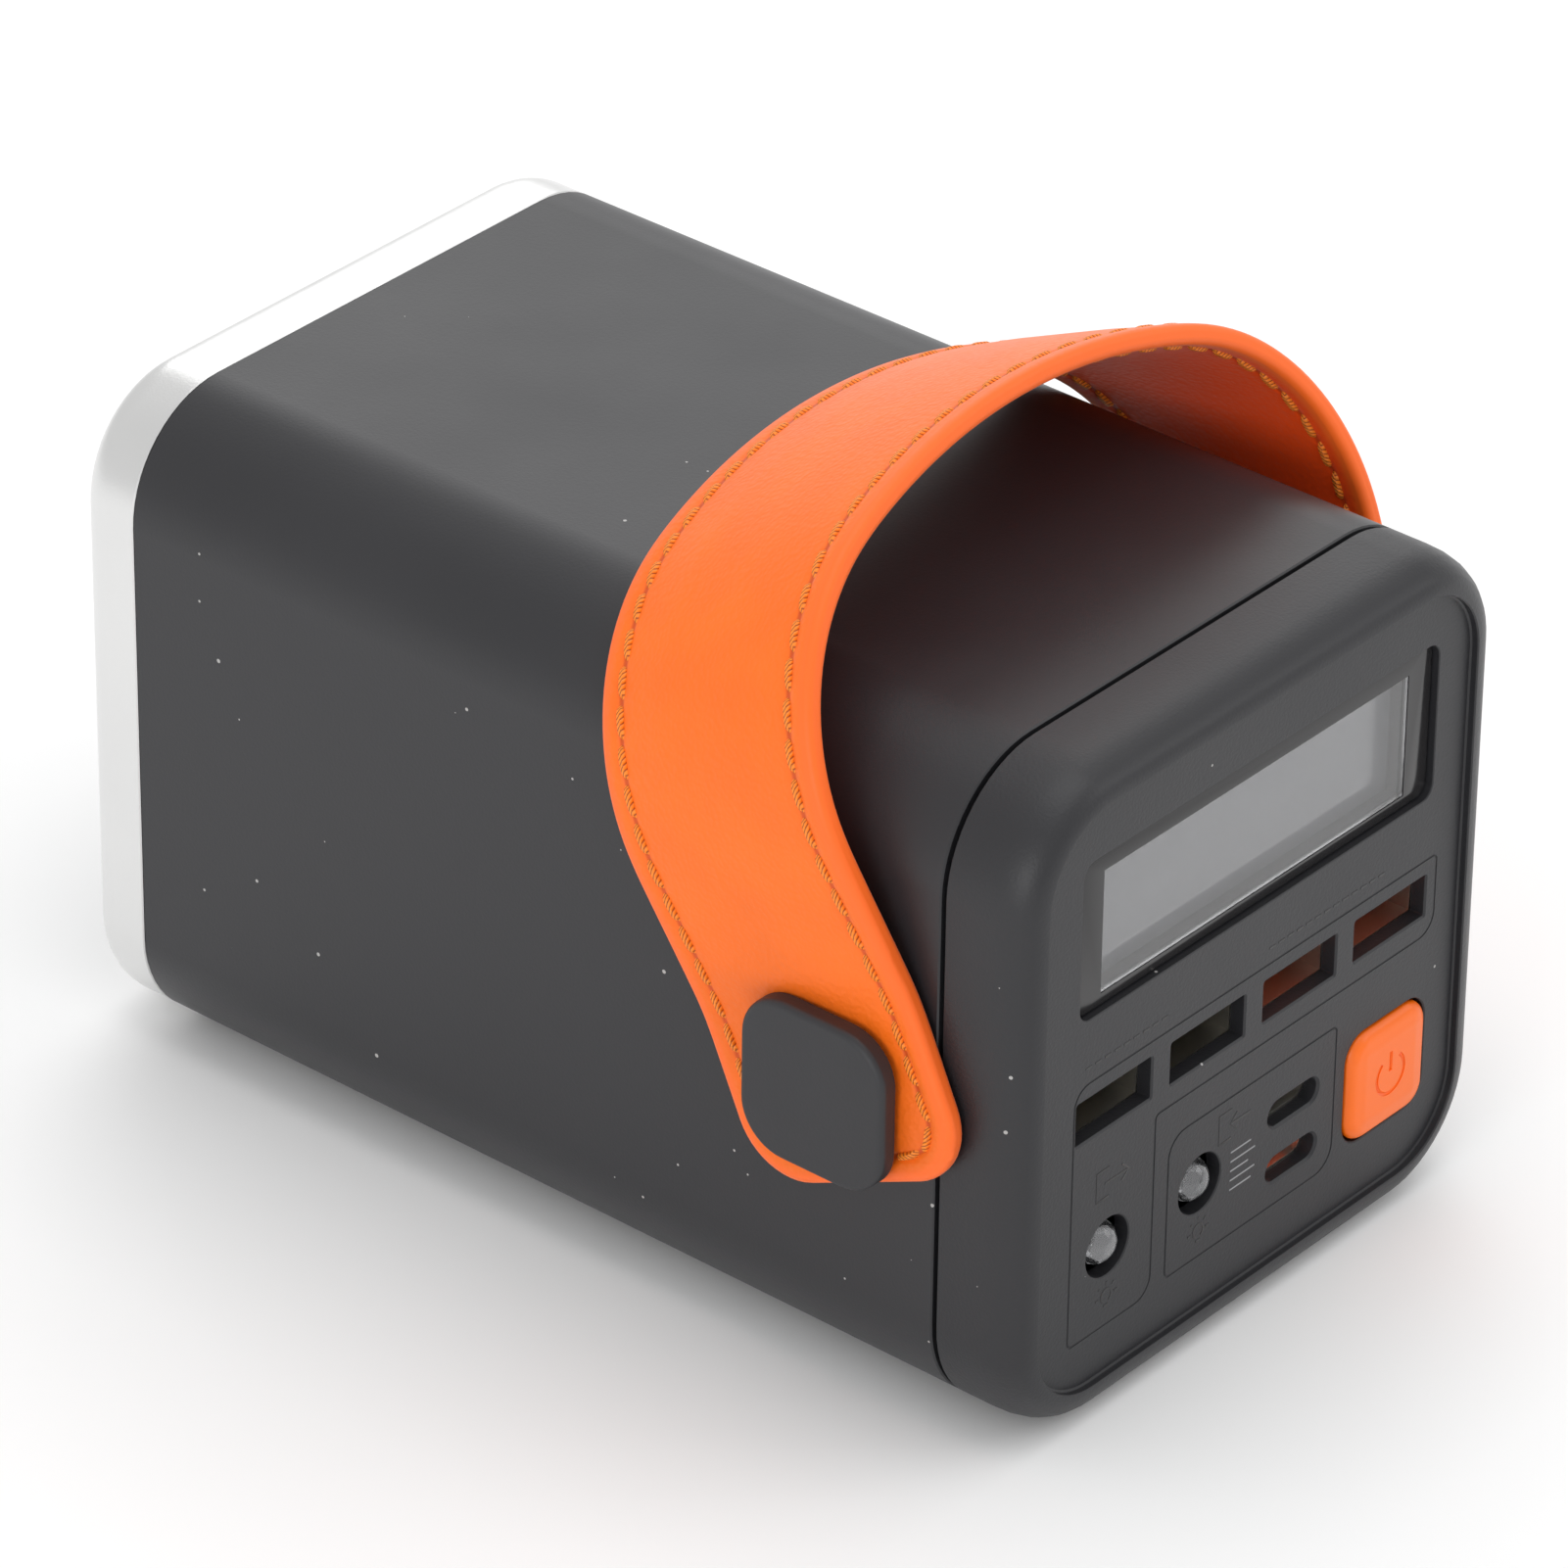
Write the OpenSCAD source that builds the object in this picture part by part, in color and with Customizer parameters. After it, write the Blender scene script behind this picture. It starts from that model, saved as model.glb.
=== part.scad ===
// Portable power station: a square battery box that lies on its long side,
// with a display and sockets on the front, a silver end cap at the back and a
// leather carrying strap that swings on two side pivots.
// The model stands on Z = 0, its front panel faces -Y and its axes cross the middle of its base.

/* [Body] */
// Width and height of the square body
body_size = 84; // [78:1:96]
// Overall length, from the front rim to the back
body_len = 139.5; // [134:0.5:160]
// Outside corner radius of the square
body_r = 14.5; // [13:0.5:16]
// Wall thickness of the shells
wall = 2.2; // [1.8:0.1:2.6]
// Length of the front cover behind the panel's face
front_depth = 10; // [9:0.5:12]
// Depth of the silver end cap
end_depth = 9.5; // [8.5:0.5:12]
// Fillet round the front edge
front_fillet = 5.5; // [4:0.5:6]
// Fillet round the back edge
end_fillet = 5; // [4:0.5:6]
// Dark gap between the front cover and the sleeve
seam_gap = 0.6; // [0.4:0.1:0.9]

/* [Front panel] */
// Height of the rim in front of the panel
rim_proud = 1; // [0.6:0.1:1.4]
// Width of the rim
rim_w = 4.25; // [3.5:0.25:5]
// Thickness of the panel
panel_t = 2; // [1.6:0.1:2.4]
// Window recess in the panel, width
window_w = 63; // [58:1:66]
// Window recess in the panel, height
window_h = 20.4; // [18:0.2:22]
// Clear area of the display, width
lcd_w = 53.8; // [48:0.2:56]
// Clear area of the display, height
lcd_h = 15.6; // [14:0.2:17]
// Width of a USB-A cut-out
usb_a_w = 13.1; // [13:0.1:13.6]
// Height of a USB-A cut-out
usb_a_h = 5.4; // [5.3:0.1:6]
// Distance from one USB-A socket to the next
usb_a_pitch = 16.45; // [15.8:0.05:17]
// Width of a USB-C cut-out
usb_c_w = 9; // [9:0.1:9.6]
// Height of a USB-C cut-out
usb_c_h = 3.3; // [3.3:0.1:3.8]
// Hole in front of a lamp
lamp_hole_d = 7.5; // [6.5:0.1:8]
// Side of the square power button
button_size = 14; // [12:0.5:15]
// Travel of the power button
button_travel = 0.7; // [0.4:0.1:1]

/* [Strap] */
// Width of the leather
strap_w = 32.4; // [28:0.2:34]
// Thickness of the leather
strap_t = 2.4; // [2:0.1:3]
// Distance from the pivots to the crown of the strap
strap_reach = 62.6; // [61:0.2:72]
// Angle that the strap leans back at rest
strap_lean = 24.6; // [15:0.2:25]
// Strap behind the panel's face, at the pivots
pivot_depth = 23.2; // [20:0.2:30]
// Side of the square strap cap
cap_size = 20.2; // [18:0.2:22]
// Thickness of the strap cap
cap_t = 2.6; // [2:0.1:3]

/* [Battery] */
// Diameter of a cell
cell_d = 18.4; // [18:0.1:18.6]
// Length of a cell
cell_len = 65; // [64:0.5:66]
// Rows of cells, one above the other
cell_rows = 4; // [3:1:4]
// Cells in a row
row_cells = 5; // [3:1:5]
// Distance between cells
cell_pitch = 19.1; // [18.8:0.1:19.2]

/* [Hidden] */
$fn = 64;
eps = 0.01;
half = body_size / 2;
front_y = -body_len / 2;
panel_y = front_y + rim_proud;
seam_y = panel_y + front_depth;
sleeve_y0 = seam_y + seam_gap;
back_y = body_len / 2;
sleeve_y1 = back_y - end_depth;
inner = body_size - 2 * wall;
inner_r = body_r - wall;
mid_z = half;

panel_size = body_size - 2 * rim_w;
panel_r = body_r - rim_w;
window_x = 0.5;
window_z = mid_z + 20.6;
window_drop = 0.9;
lcd_x = 0.6;
lcd_z = mid_z + 20;
usb_a_z = mid_z - 2.45;
usb_a_x0 = -24.35;
usb_c_x = 8.4;
usb_c_z = [mid_z - 18.8, mid_z - 26.2];
lamp_x = [-24.7, -8.4];
lamp_z = mid_z - 21.15;
button_x = 25.2;
button_z = mid_z - 22.75;
button_r = 3;
button_proud = 1;

port_board_y = panel_y + 16.4;
power_board_y = panel_y + 21.6;
board_t = 1.6;
plunger_y1 = port_board_y - 2.3;
pillar_xz = [[-33, mid_z + 33], [33, mid_z + 33], [-33, mid_z - 33], [33, mid_z - 33]];

pack_y0 = panel_y + 28.6;
pack_len = row_cells * cell_pitch + 1.2;
holder_t = 4;
holder_x = cell_len / 2 - 2;
holder_h = cell_rows * cell_pitch - 1.8;
end_screw_xz = [for (x = [-31, 31], z = [-31, 31]) [x, mid_z + z]];
boss_y0 = sleeve_y1 - 3.5;
boss_y1 = sleeve_y1 - 0.2;
boss_web = 9.6;

pivot_y = panel_y + pivot_depth;
pivot_z = mid_z;
hub_r = 4;
peg_z = 2.6;
strap_gap = 0.45;
leg_x = half + strap_gap + strap_t / 2;
shoulder_x = leg_x + 3.2;
shoulder_r = 28;
crown_r = 82;
strap_end = 12;
strap_end_r = 8;
strap_x1 = half + strap_gap + strap_t;
cap_x0 = strap_x1 + 0.8;

// ---------- shapes that repeat ----------

// A rectangle with round corners, centred on the origin
module round_rect(w, h, r) {
    square([w - 2 * r, h], center = true);
    square([w, h - 2 * r], center = true);
    for (x = [-1, 1], z = [-1, 1])
        translate([x * (w / 2 - r), z * (h / 2 - r)]) circle(r);
}

// A rounded rectangle bar that runs along Y from y0 to y1, centred on X = x and Z = z
module bar_y(w, h, r, y0, y1, x = 0, z = mid_z)
    translate([x, y1, z]) rotate([90, 0, 0]) linear_extrude(y1 - y0) round_rect(w, h, r);

// A plain box that runs along Y from y0 to y1
module box_y(w, h, y0, y1, x = 0, z = mid_z)
    translate([x - w / 2, y0, z - h / 2]) cube([w, y1 - y0, h]);

// A round rod along Y from y0 to y1
module rod_y(r, y0, y1, x = 0, z = mid_z)
    translate([x, y1, z]) rotate([90, 0, 0]) cylinder(r = r, h = y1 - y0);

// A round rod along X from x0 to x1, at the strap's pivots
module rod_x(r, x0, x1, y = pivot_y, z = pivot_z)
    translate([x0, y, z]) rotate([0, 90, 0]) cylinder(r = r, h = x1 - x0);

// A round rod along X on one side of the body, from x0 to x1 counted outwards
module side_rod(side, r, x0, x1, z = pivot_z)
    rod_x(r, side > 0 ? x0 : -x1, side > 0 ? x1 : -x0, pivot_y, z);

// Half of the outline of a block whose far edge is rounded by f
module soft_edge(w, len, f) {
    square([w - f, len]);
    square([w, len - f]);
    translate([w - f, len - f]) circle(f);
}

// A rounded square block, from the origin to Z = len, with a fillet f round its far face
module soft_block(size, r, len, f) {
    c = size / 2 - r;
    for (x = [-c, c], y = [-c, c])
        translate([x, y, 0]) rotate_extrude() intersection() {
            soft_edge(r, len, f);
            square([r, len]);
        }
    for (turn = [0, 90, 180, 270])
        rotate([0, 0, turn]) translate([0, c, 0]) rotate([90, 0, 90])
            linear_extrude(2 * c, center = true) intersection() {
                soft_edge(r, len, f);
                square([r, len]);
            }
    translate([-c, -c, 0]) cube([2 * c, 2 * c, len]);
}

// ---------- shells ----------

module body_sleeve() color([0.27, 0.28, 0.30]) {
    difference() {
        bar_y(body_size, body_size, body_r, sleeve_y0, sleeve_y1);
        bar_y(inner, inner, inner_r, sleeve_y0 - 1, sleeve_y1 + 1);
        for (side = [-1, 1]) {
            rod_x(1.4, side * half - 5, side * half + 5);
            for (z = [-peg_z, peg_z])
                rod_x(0.75, side * half - 5, side * half + 5, pivot_y, pivot_z + z);
        }
        for (turn = [0, 90, 180, 270])
            translate([0, 0, mid_z]) rotate([0, turn, 0]) translate([0, 0, -mid_z])
                box_y(12.6, 2, seam_y + 2.9, seam_y + 4.5, 0, mid_z + inner / 2);
    }
    // Corner bosses for the end cap's screws
    difference() {
        for (p = end_screw_xz) {
            sx = sign(p[0]);
            sz = sign(p[1] - mid_z);
            rod_y(3.2, boss_y0, boss_y1, p[0], p[1]);
            box_y(2, boss_web, boss_y0, boss_y1, p[0], p[1] + sz * boss_web / 2);
            box_y(boss_web, 2, boss_y0, boss_y1, p[0] + sx * boss_web / 2, p[1]);
        }
        for (p = end_screw_xz)
            rod_y(1.05, boss_y0 - 1, sleeve_y1 + 1, p[0], p[1]);
    }
}

// A bar along Y with the power button's outline, wider by grow
module button_bar(grow, y0, y1) {
    size = button_size + grow;
    bar_y(size, size, button_r + grow / 2, y0, y1, button_x, button_z);
}

module panel_openings() {
    bar_y(window_w, window_h, 2, panel_y - 2, panel_y + window_drop + 1, window_x, window_z);
    box_y(lcd_w, lcd_h, panel_y - 2, panel_y + panel_t + 1, lcd_x, lcd_z);
    for (i = [0:3])
        box_y(usb_a_w, usb_a_h, panel_y - 2, panel_y + panel_t + 1, usb_a_x0 + i * usb_a_pitch, usb_a_z);
    for (z = usb_c_z)
        bar_y(usb_c_w, usb_c_h, usb_c_h / 2 - eps, panel_y - 2, panel_y + panel_t + 1, usb_c_x, z);
    for (x = lamp_x)
        rod_y(lamp_hole_d / 2, panel_y - 2, panel_y + panel_t + 1, x, lamp_z);
    button_bar(0.7, panel_y - 2, panel_y + panel_t + 1);
}

module front_cover() color([0.27, 0.28, 0.30]) {
    difference() {
        union() {
            difference() {
                translate([0, seam_y, mid_z]) rotate([90, 0, 0])
                    soft_block(body_size, body_r, front_depth + rim_proud, front_fillet);
                bar_y(panel_size, panel_size, panel_r, front_y - 1, panel_y);
                bar_y(inner, inner, inner_r, panel_y + panel_t + 2.4, seam_y + 1);
                bar_y(inner - 6, inner - 6, inner_r - 3, panel_y + panel_t, seam_y + 1);
            }
            // Skirt that enters the sleeve
            difference() {
                bar_y(inner - 0.3, inner - 0.3, inner_r - 0.15, seam_y - 2, seam_y + 5.4);
                bar_y(inner - 3.3, inner - 3.3, inner_r - 1.65, seam_y - 3, seam_y + 6);
            }
            // Pillars that carry the boards
            for (p = pillar_xz)
                rod_y(3, panel_y + panel_t - 0.5, port_board_y, p[0], p[1]);
            // Button guide
            button_bar(3.1, panel_y + 1, panel_y + 5);
        }
        panel_openings();
        button_bar(0.7, panel_y - 2, panel_y + 6);
        for (p = pillar_xz)
            rod_y(1, port_board_y - 8, port_board_y + 1, p[0], p[1]);
    }
    // Snap ridges on the skirt
    for (turn = [0, 90, 180, 270])
        translate([0, 0, mid_z]) rotate([0, turn, 0]) translate([0, 0, -mid_z])
            box_y(12, 1.1, seam_y + 3.1, seam_y + 4.3, 0, mid_z + inner / 2 - 0.1);
}

module end_cap() color([0.80, 0.80, 0.80]) difference() {
    union() {
        translate([0, sleeve_y1, mid_z]) rotate([-90, 0, 0])
            soft_block(body_size, body_r, end_depth, end_fillet);
        difference() {
            bar_y(inner - 0.3, inner - 0.3, inner_r - 0.15, sleeve_y1 - 5, sleeve_y1 + 1);
            bar_y(inner - 3.3, inner - 3.3, inner_r - 1.65, sleeve_y1 - 6, sleeve_y1 + 2);
            // Notches round the sleeve's corner bosses
            for (p = end_screw_xz) {
                sx = sign(p[0]);
                sz = sign(p[1] - mid_z);
                box_y(10.8, 10.8, sleeve_y1 - 6, sleeve_y1, p[0] + sx * 3.8, p[1] + sz * 3.8);
            }
        }
    }
    // Hollow behind the flange, then the opening and the seat of the end plate
    bar_y(inner - 3.3, inner - 3.3, inner_r - 1.65, sleeve_y1 - 6, back_y - 4.4 - 2.2 - eps);
    bar_y(60, 60, 6, sleeve_y1, back_y + 1);
    bar_y(71.5, 71.5, 9.5, back_y - 4.4, back_y + 1);
    for (p = end_screw_xz)
        rod_y(1.4, sleeve_y1 - 6, back_y, p[0], p[1]);
}

module end_plate() color([0.25, 0.26, 0.28]) {
    difference() {
        bar_y(71, 71, 9.25, back_y - 2.6, back_y - 0.8);
        bar_y(62, 62, 6, back_y - 1.4, back_y + 1);
    }
    // Lip that drops through the flange and keeps the plate central
    difference() {
        bar_y(59.4, 59.4, 5.7, back_y - 7.6, back_y - 2.2);
        bar_y(56.4, 56.4, 4.2, back_y - 8, back_y - 2.6);
    }
}

module end_screws() color([0.55, 0.55, 0.57])
    for (p = end_screw_xz) difference() {
        union() {
            rod_y(1, boss_y0 + 0.2, back_y - 4.2, p[0], p[1]);
            rod_y(2.3, back_y - 4.4, back_y - 2.8, p[0], p[1]);
        }
        box_y(2.8, 0.6, back_y - 3.5, back_y, p[0], p[1]);
        box_y(0.6, 2.8, back_y - 3.5, back_y, p[0], p[1]);
    }

// ---------- display ----------

module display_window() color([0.25, 0.25, 0.26, 0.6])
    bar_y(window_w - 0.5, window_h - 0.5, 1.75, panel_y + window_drop, panel_y + window_drop + 0.99,
          window_x, window_z);

module lcd_holder() color([0.12, 0.12, 0.13]) difference() {
    box_y(lcd_w + 8, lcd_h + 5, panel_y + panel_t + 0.05, panel_y + panel_t + 6, lcd_x, lcd_z - 0.4);
    box_y(lcd_w, lcd_h, panel_y + panel_t - 1, panel_y + panel_t + 2.2, lcd_x, lcd_z);
    box_y(lcd_w + 3, lcd_h + 2.4, panel_y + panel_t + 1.8, panel_y + panel_t + 7, lcd_x, lcd_z);
}

module lcd_panel() color([0.6, 0.6, 0.62])
    box_y(lcd_w + 2.6, lcd_h + 2, panel_y + panel_t + 1.85, panel_y + panel_t + 3.65, lcd_x, lcd_z);

module lcd_backlight() color([0.9, 0.9, 0.9])
    box_y(lcd_w + 2.6, lcd_h + 2, panel_y + panel_t + 3.7, panel_y + panel_t + 5.7, lcd_x, lcd_z);

// ---------- sockets ----------

// Metal shell of a USB-A socket, with its slotted sides
module usb_a_shell(i) color([0.75, 0.76, 0.78]) {
    x = usb_a_x0 + i * usb_a_pitch;
    y0 = panel_y + panel_t + 0.1;
    difference() {
        box_y(usb_a_w + 0.5, usb_a_h + 0.5, y0, port_board_y - 0.05, x, usb_a_z);
        box_y(usb_a_w - 0.3, usb_a_h - 0.1, y0 - 1, port_board_y - 1.2, x, usb_a_z);
        for (dx = [-3.2, 3.2])
            box_y(2, usb_a_h + 2, y0 + 3, y0 + 6, x + dx, usb_a_z);
    }
}

// Contact tongue of a USB-A socket
module usb_a_tongue(i, tint) color(tint) {
    x = usb_a_x0 + i * usb_a_pitch;
    box_y(11.2, 1.9, panel_y + panel_t + 0.8, port_board_y - 1.25, x, usb_a_z + 1.05);
}

// Metal shell of a USB-C socket
module usb_c_shell(z) color([0.75, 0.76, 0.78]) {
    y0 = panel_y + panel_t + 0.1;
    difference() {
        bar_y(usb_c_w + 0.4, usb_c_h + 0.4, usb_c_h / 2 + 0.2 - eps, y0, port_board_y - 0.05, usb_c_x, z);
        bar_y(usb_c_w - 0.4, usb_c_h - 0.4, usb_c_h / 2 - 0.2 - eps,
              y0 - 1, port_board_y - 2.5, usb_c_x, z);
    }
}

// Contact tongue of a USB-C socket
module usb_c_tongue(z, tint) color(tint)
    bar_y(6.7, 0.8, 0.3, panel_y + panel_t + 1.4, port_board_y - 2.55, usb_c_x, z);

// Clear lamp with a domed nose and a collar
module lamp(x) color([0.9, 0.92, 0.95, 0.6]) {
    nose = panel_y + 1.6;
    r = 2.5;
    translate([x, nose + r, lamp_z]) rotate([90, 0, 0]) rotate_extrude() intersection() {
        union() {
            circle(r);
            translate([-r, -6.1]) square([2 * r, 6.1]);
            translate([-2.95, -6.1]) square([5.9, 1.1]);
        }
        translate([0, -8]) square([4, 16]);
    }
    for (dx = [-1.27, 1.27])
        box_y(0.5, 0.5, nose + r + 6, port_board_y, x + dx, lamp_z);
}

// ---------- power button ----------

module power_button() color([1.0, 0.42, 0.15]) {
    translate([button_x, panel_y + 3.4, button_z]) rotate([90, 0, 0])
        soft_block(button_size, button_r, 3.4 + button_proud, 1.3);
    // Collar that keeps the button in, and the stem that reaches the switch
    button_bar(2.6, panel_y + 5.4, panel_y + 6.4);
    button_bar(-1.5, panel_y + 3, panel_y + 6);
    rod_y(1.8, panel_y + 6, panel_y + 10.2, button_x, button_z);
}

module power_switch() color([0.15, 0.15, 0.16]) difference() {
    box_y(6, 6, port_board_y - 4.2, port_board_y - 0.05, button_x, button_z);
    rod_y(1.8, port_board_y - 5, plunger_y1 + button_travel + 0.2, button_x, button_z);
}

module switch_plunger() color([0.85, 0.85, 0.85])
    rod_y(1.74, panel_y + 10.25, plunger_y1, button_x, button_z);

// ---------- boards ----------

module board(y0, w, h, r) difference() {
    bar_y(w, h, r, y0, y0 + board_t);
    for (p = pillar_xz)
        rod_y(1.3, y0 - 1, y0 + board_t + 1, p[0], p[1]);
}

module port_board() color([0.05, 0.30, 0.16]) board(port_board_y, 73, 73, 7);

module power_board() color([0.05, 0.30, 0.16]) board(power_board_y, 73, 73, 7);

module board_pillars() color([0.80, 0.65, 0.30])
    for (p = pillar_xz) difference() {
        rod_y(2.6, port_board_y + board_t + 0.02, power_board_y - 0.02, p[0], p[1]);
        rod_y(1.3, port_board_y, power_board_y + 1, p[0], p[1]);
    }

module board_screws() color([0.60, 0.60, 0.62])
    for (p = pillar_xz) {
        rod_y(0.95, port_board_y - 7, power_board_y + board_t + 0.1, p[0], p[1]);
        rod_y(2.2, power_board_y + board_t + 0.05, power_board_y + board_t + 1.6, p[0], p[1]);
    }

module inductors() color([0.30, 0.30, 0.31])
    for (i = [-1:1])
        bar_y(12, 12, 2.5, power_board_y + board_t + 0.03, power_board_y + board_t + 4.2,
              i * 17, mid_z + 16);

module capacitors() color([0.75, 0.75, 0.78])
    for (i = [0:4])
        rod_y(3.1, power_board_y + board_t + 0.03, power_board_y + board_t + 4.4, -20 + i * 10, mid_z - 14);

module insulation_sheet() color([0.82, 0.80, 0.70])
    bar_y(69, 74, 6, pack_y0 - 0.6, pack_y0 - 0.2);

// ---------- battery ----------

function cell_y(i) = pack_y0 + 0.6 + (i + 0.5) * cell_pitch;
function row_z(r) = mid_z + (r - (cell_rows - 1) / 2) * cell_pitch;

module cell_row(r) color([0.15, 0.42, 0.55])
    for (i = [0:row_cells - 1]) {
        rod_x(cell_d / 2, -cell_len / 2 + 0.3, cell_len / 2 - 0.8, cell_y(i), row_z(r));
        rod_x(3, cell_len / 2 - 1, cell_len / 2, cell_y(i), row_z(r));
    }

// Plate that holds one end of every cell in a shallow pocket
module cell_holder(side) color([0.12, 0.12, 0.13]) difference() {
    translate([side * (holder_x + holder_t / 2), pack_y0 + pack_len / 2, mid_z])
        rotate([90, 0, 90]) linear_extrude(holder_t, center = true)
            round_rect(pack_len, holder_h, 5);
    for (r = [0:cell_rows - 1], i = [0:row_cells - 1]) {
        rod_x(cell_d / 2 + 0.1, side * holder_x - 2.05, side * holder_x + 2.05, cell_y(i), row_z(r));
        rod_x(6.5, side * holder_x - 5, side * holder_x + 5, cell_y(i), row_z(r));
    }
}

module nickel_strips(side) color([0.78, 0.77, 0.72])
    for (i = [0:row_cells - 1])
        translate([side * (holder_x + holder_t + 0.2), cell_y(i), mid_z])
            cube([0.3, 8, cell_rows * cell_pitch - 8], center = true);

// A lead from each side of the pack to the power board
module battery_leads() for (side = [-1, 1]) color(side < 0 ? [0.1, 0.1, 0.1] : [0.8, 0.1, 0.08]) {
    x = side * (holder_x + holder_t + 1.6);
    z = mid_z - 10;
    y0 = power_board_y + board_t + 1.4;
    y1 = cell_y(0);
    rod_y(1.2, y0, y1, x, z);
    translate([x, y0, z]) sphere(1.2);
    rod_x(1.2, min(x, side * 30), max(x, side * 30), y0, z);
    translate([side * 30, y0, z]) sphere(1.2);
}

// ---------- carrying strap ----------

// Middle line of the strap: straight legs, round shoulders and a flat crown.
// Each row holds a point and the outward direction there.
crown_z = strap_reach - crown_r;
shoulder_cx = shoulder_x - shoulder_r;
shoulder_cz = crown_z + sqrt(pow(crown_r - shoulder_r, 2) - pow(shoulder_cx, 2));
leg_top = 12;
flare = atan2(shoulder_x - leg_x, shoulder_cz - leg_top);
shoulder_end = atan2(shoulder_cz - crown_z, shoulder_cx);
function arc_row(cx, cz, r, a) = [[cx + r * cos(a), cz + r * sin(a)], [cos(a), sin(a)]];
half_line = concat(
    [[[leg_x, -strap_end], [1, 0]], [[leg_x, leg_top - 2], [1, 0]]],
    [for (i = [0:12])
        arc_row(shoulder_cx, shoulder_cz, shoulder_r, -flare + (shoulder_end + flare) * i / 12)],
    [for (i = [1:6]) arc_row(0, crown_z, crown_r, shoulder_end + (90 - shoulder_end) * i / 6)]
);
function flip(v) = [-v[0], v[1]];
function mirrored(rows) = [for (i = [len(rows) - 2:-1:0]) [flip(rows[i][0]), flip(rows[i][1])]];
strap_line = concat(half_line, mirrored(half_line));
function strap_side(d) = [for (row = strap_line) row[0] + d * row[1]];
function backwards(points) = [for (i = [len(points) - 1:-1:0]) points[i]];

// Places the upright strap's own frame at the pivots and leans it back
module lean_back() translate([0, pivot_y, pivot_z]) rotate([-strap_lean, 0, 0]) children();

module strap() color([1.0, 0.43, 0.16]) difference() {
    lean_back() intersection() {
        translate([0, strap_w / 2, 0]) rotate([90, 0, 0]) linear_extrude(strap_w)
            polygon(concat(strap_side(strap_t / 2), backwards(strap_side(-strap_t / 2))));
        // Round corners at the two ends
        translate([-60, 0, 0]) rotate([90, 0, 90]) linear_extrude(120) {
            translate([-strap_w / 2, strap_end_r - strap_end]) square([strap_w, 100]);
            translate([-strap_w / 2 + strap_end_r, -strap_end]) square([strap_w - 2 * strap_end_r, 20]);
            for (y = [-1, 1])
                translate([y * (strap_w / 2 - strap_end_r), strap_end_r - strap_end]) circle(strap_end_r);
        }
    }
    for (side = [-1, 1])
        rod_x(5.6, side * leg_x - 3, side * leg_x + 3);
}

module strap_eyelets() color([0.70, 0.70, 0.72])
    for (side = [-1, 1]) difference() {
        union() {
            rod_x(5.55, side * leg_x - strap_t / 2, side * leg_x + strap_t / 2);
            translate([side * (strap_x1 + 0.15), pivot_y, pivot_z]) rotate([0, 90, 0]) {
                cylinder(r = 6.6, h = 0.28, center = true);
                cylinder(r = 5.55, h = 0.6, center = true);
            }
        }
        rod_x(hub_r + 0.06, side * leg_x - 5, side * leg_x + 5);
    }

module strap_cap(side) color([0.24, 0.25, 0.27]) difference() {
    union() {
        translate([side * cap_x0, pivot_y, pivot_z]) rotate([0, side * 90, 0])
            soft_block(cap_size, 6, cap_t, 1);
        // Hub that the strap turns on, and the pegs that stop the cap turning
        side_rod(side, hub_r, half, cap_x0 + 0.5);
        for (z = [-peg_z, peg_z])
            side_rod(side, 0.68, half - 1.6, half + 1, pivot_z + z);
    }
    side_rod(side, 1.05, half - 3, cap_x0 + 0.8);
}

module strap_cap_screws() color([0.60, 0.60, 0.62])
    for (side = [-1, 1]) {
        seat = half - wall - 0.05;
        side_rod(side, 0.97, seat, cap_x0 + 0.2);
        side_rod(side, 2.5, seat - 1.45, seat);
    }

body_sleeve();
front_cover();
end_cap();
end_plate();
end_screws();
display_window();
lcd_holder();
lcd_panel();
lcd_backlight();
usb_a_shell(0);  // usb_a_shell_1
usb_a_shell(1);  // usb_a_shell_2
usb_a_shell(2);  // usb_a_shell_3
usb_a_shell(3);  // usb_a_shell_4
usb_a_tongue(0, [0.1, 0.1, 0.1]);  // usb_a_tongue_1
usb_a_tongue(1, [0.1, 0.1, 0.1]);  // usb_a_tongue_2
usb_a_tongue(2, [0.85, 0.25, 0.08]);  // usb_a_tongue_3
usb_a_tongue(3, [0.85, 0.25, 0.08]);  // usb_a_tongue_4
usb_c_shell(usb_c_z[0]);  // usb_c_shell_upper
usb_c_shell(usb_c_z[1]);  // usb_c_shell_lower
usb_c_tongue(usb_c_z[0], [0.1, 0.1, 0.1]);  // usb_c_tongue_upper
usb_c_tongue(usb_c_z[1], [0.85, 0.25, 0.08]);  // usb_c_tongue_lower
lamp(lamp_x[0]);  // lamp_left
lamp(lamp_x[1]);  // lamp_right
power_button();
power_switch();
switch_plunger();
port_board();
power_board();
board_pillars();
board_screws();
inductors();
capacitors();
insulation_sheet();
cell_row(0);  // cell_row_1
cell_row(1);  // cell_row_2
cell_row(2);  // cell_row_3
cell_row(3);  // cell_row_4
cell_holder(-1);  // cell_holder_left
cell_holder(1);  // cell_holder_right
nickel_strips(-1);  // nickel_strips_left
nickel_strips(1);  // nickel_strips_right
battery_leads();
strap();
strap_eyelets();
strap_cap(-1);  // strap_cap_left
strap_cap(1);  // strap_cap_right
strap_cap_screws();
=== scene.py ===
"""Visual model of a portable power station: a square battery box with a silver end and a leather strap.

The box lies along Y, its panel faces -Y and it stands on Z = 0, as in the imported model. Pieces are
modelled in millimetres where they belong, then put into metres and onto the bodies that they ride on.
"""
import logging
import math
from collections.abc import Callable, Iterator, Sequence
from contextlib import contextmanager
from dataclasses import dataclass, field
from enum import Enum
from typing import Any

import bpy
from mathutils import Matrix, Vector


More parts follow.
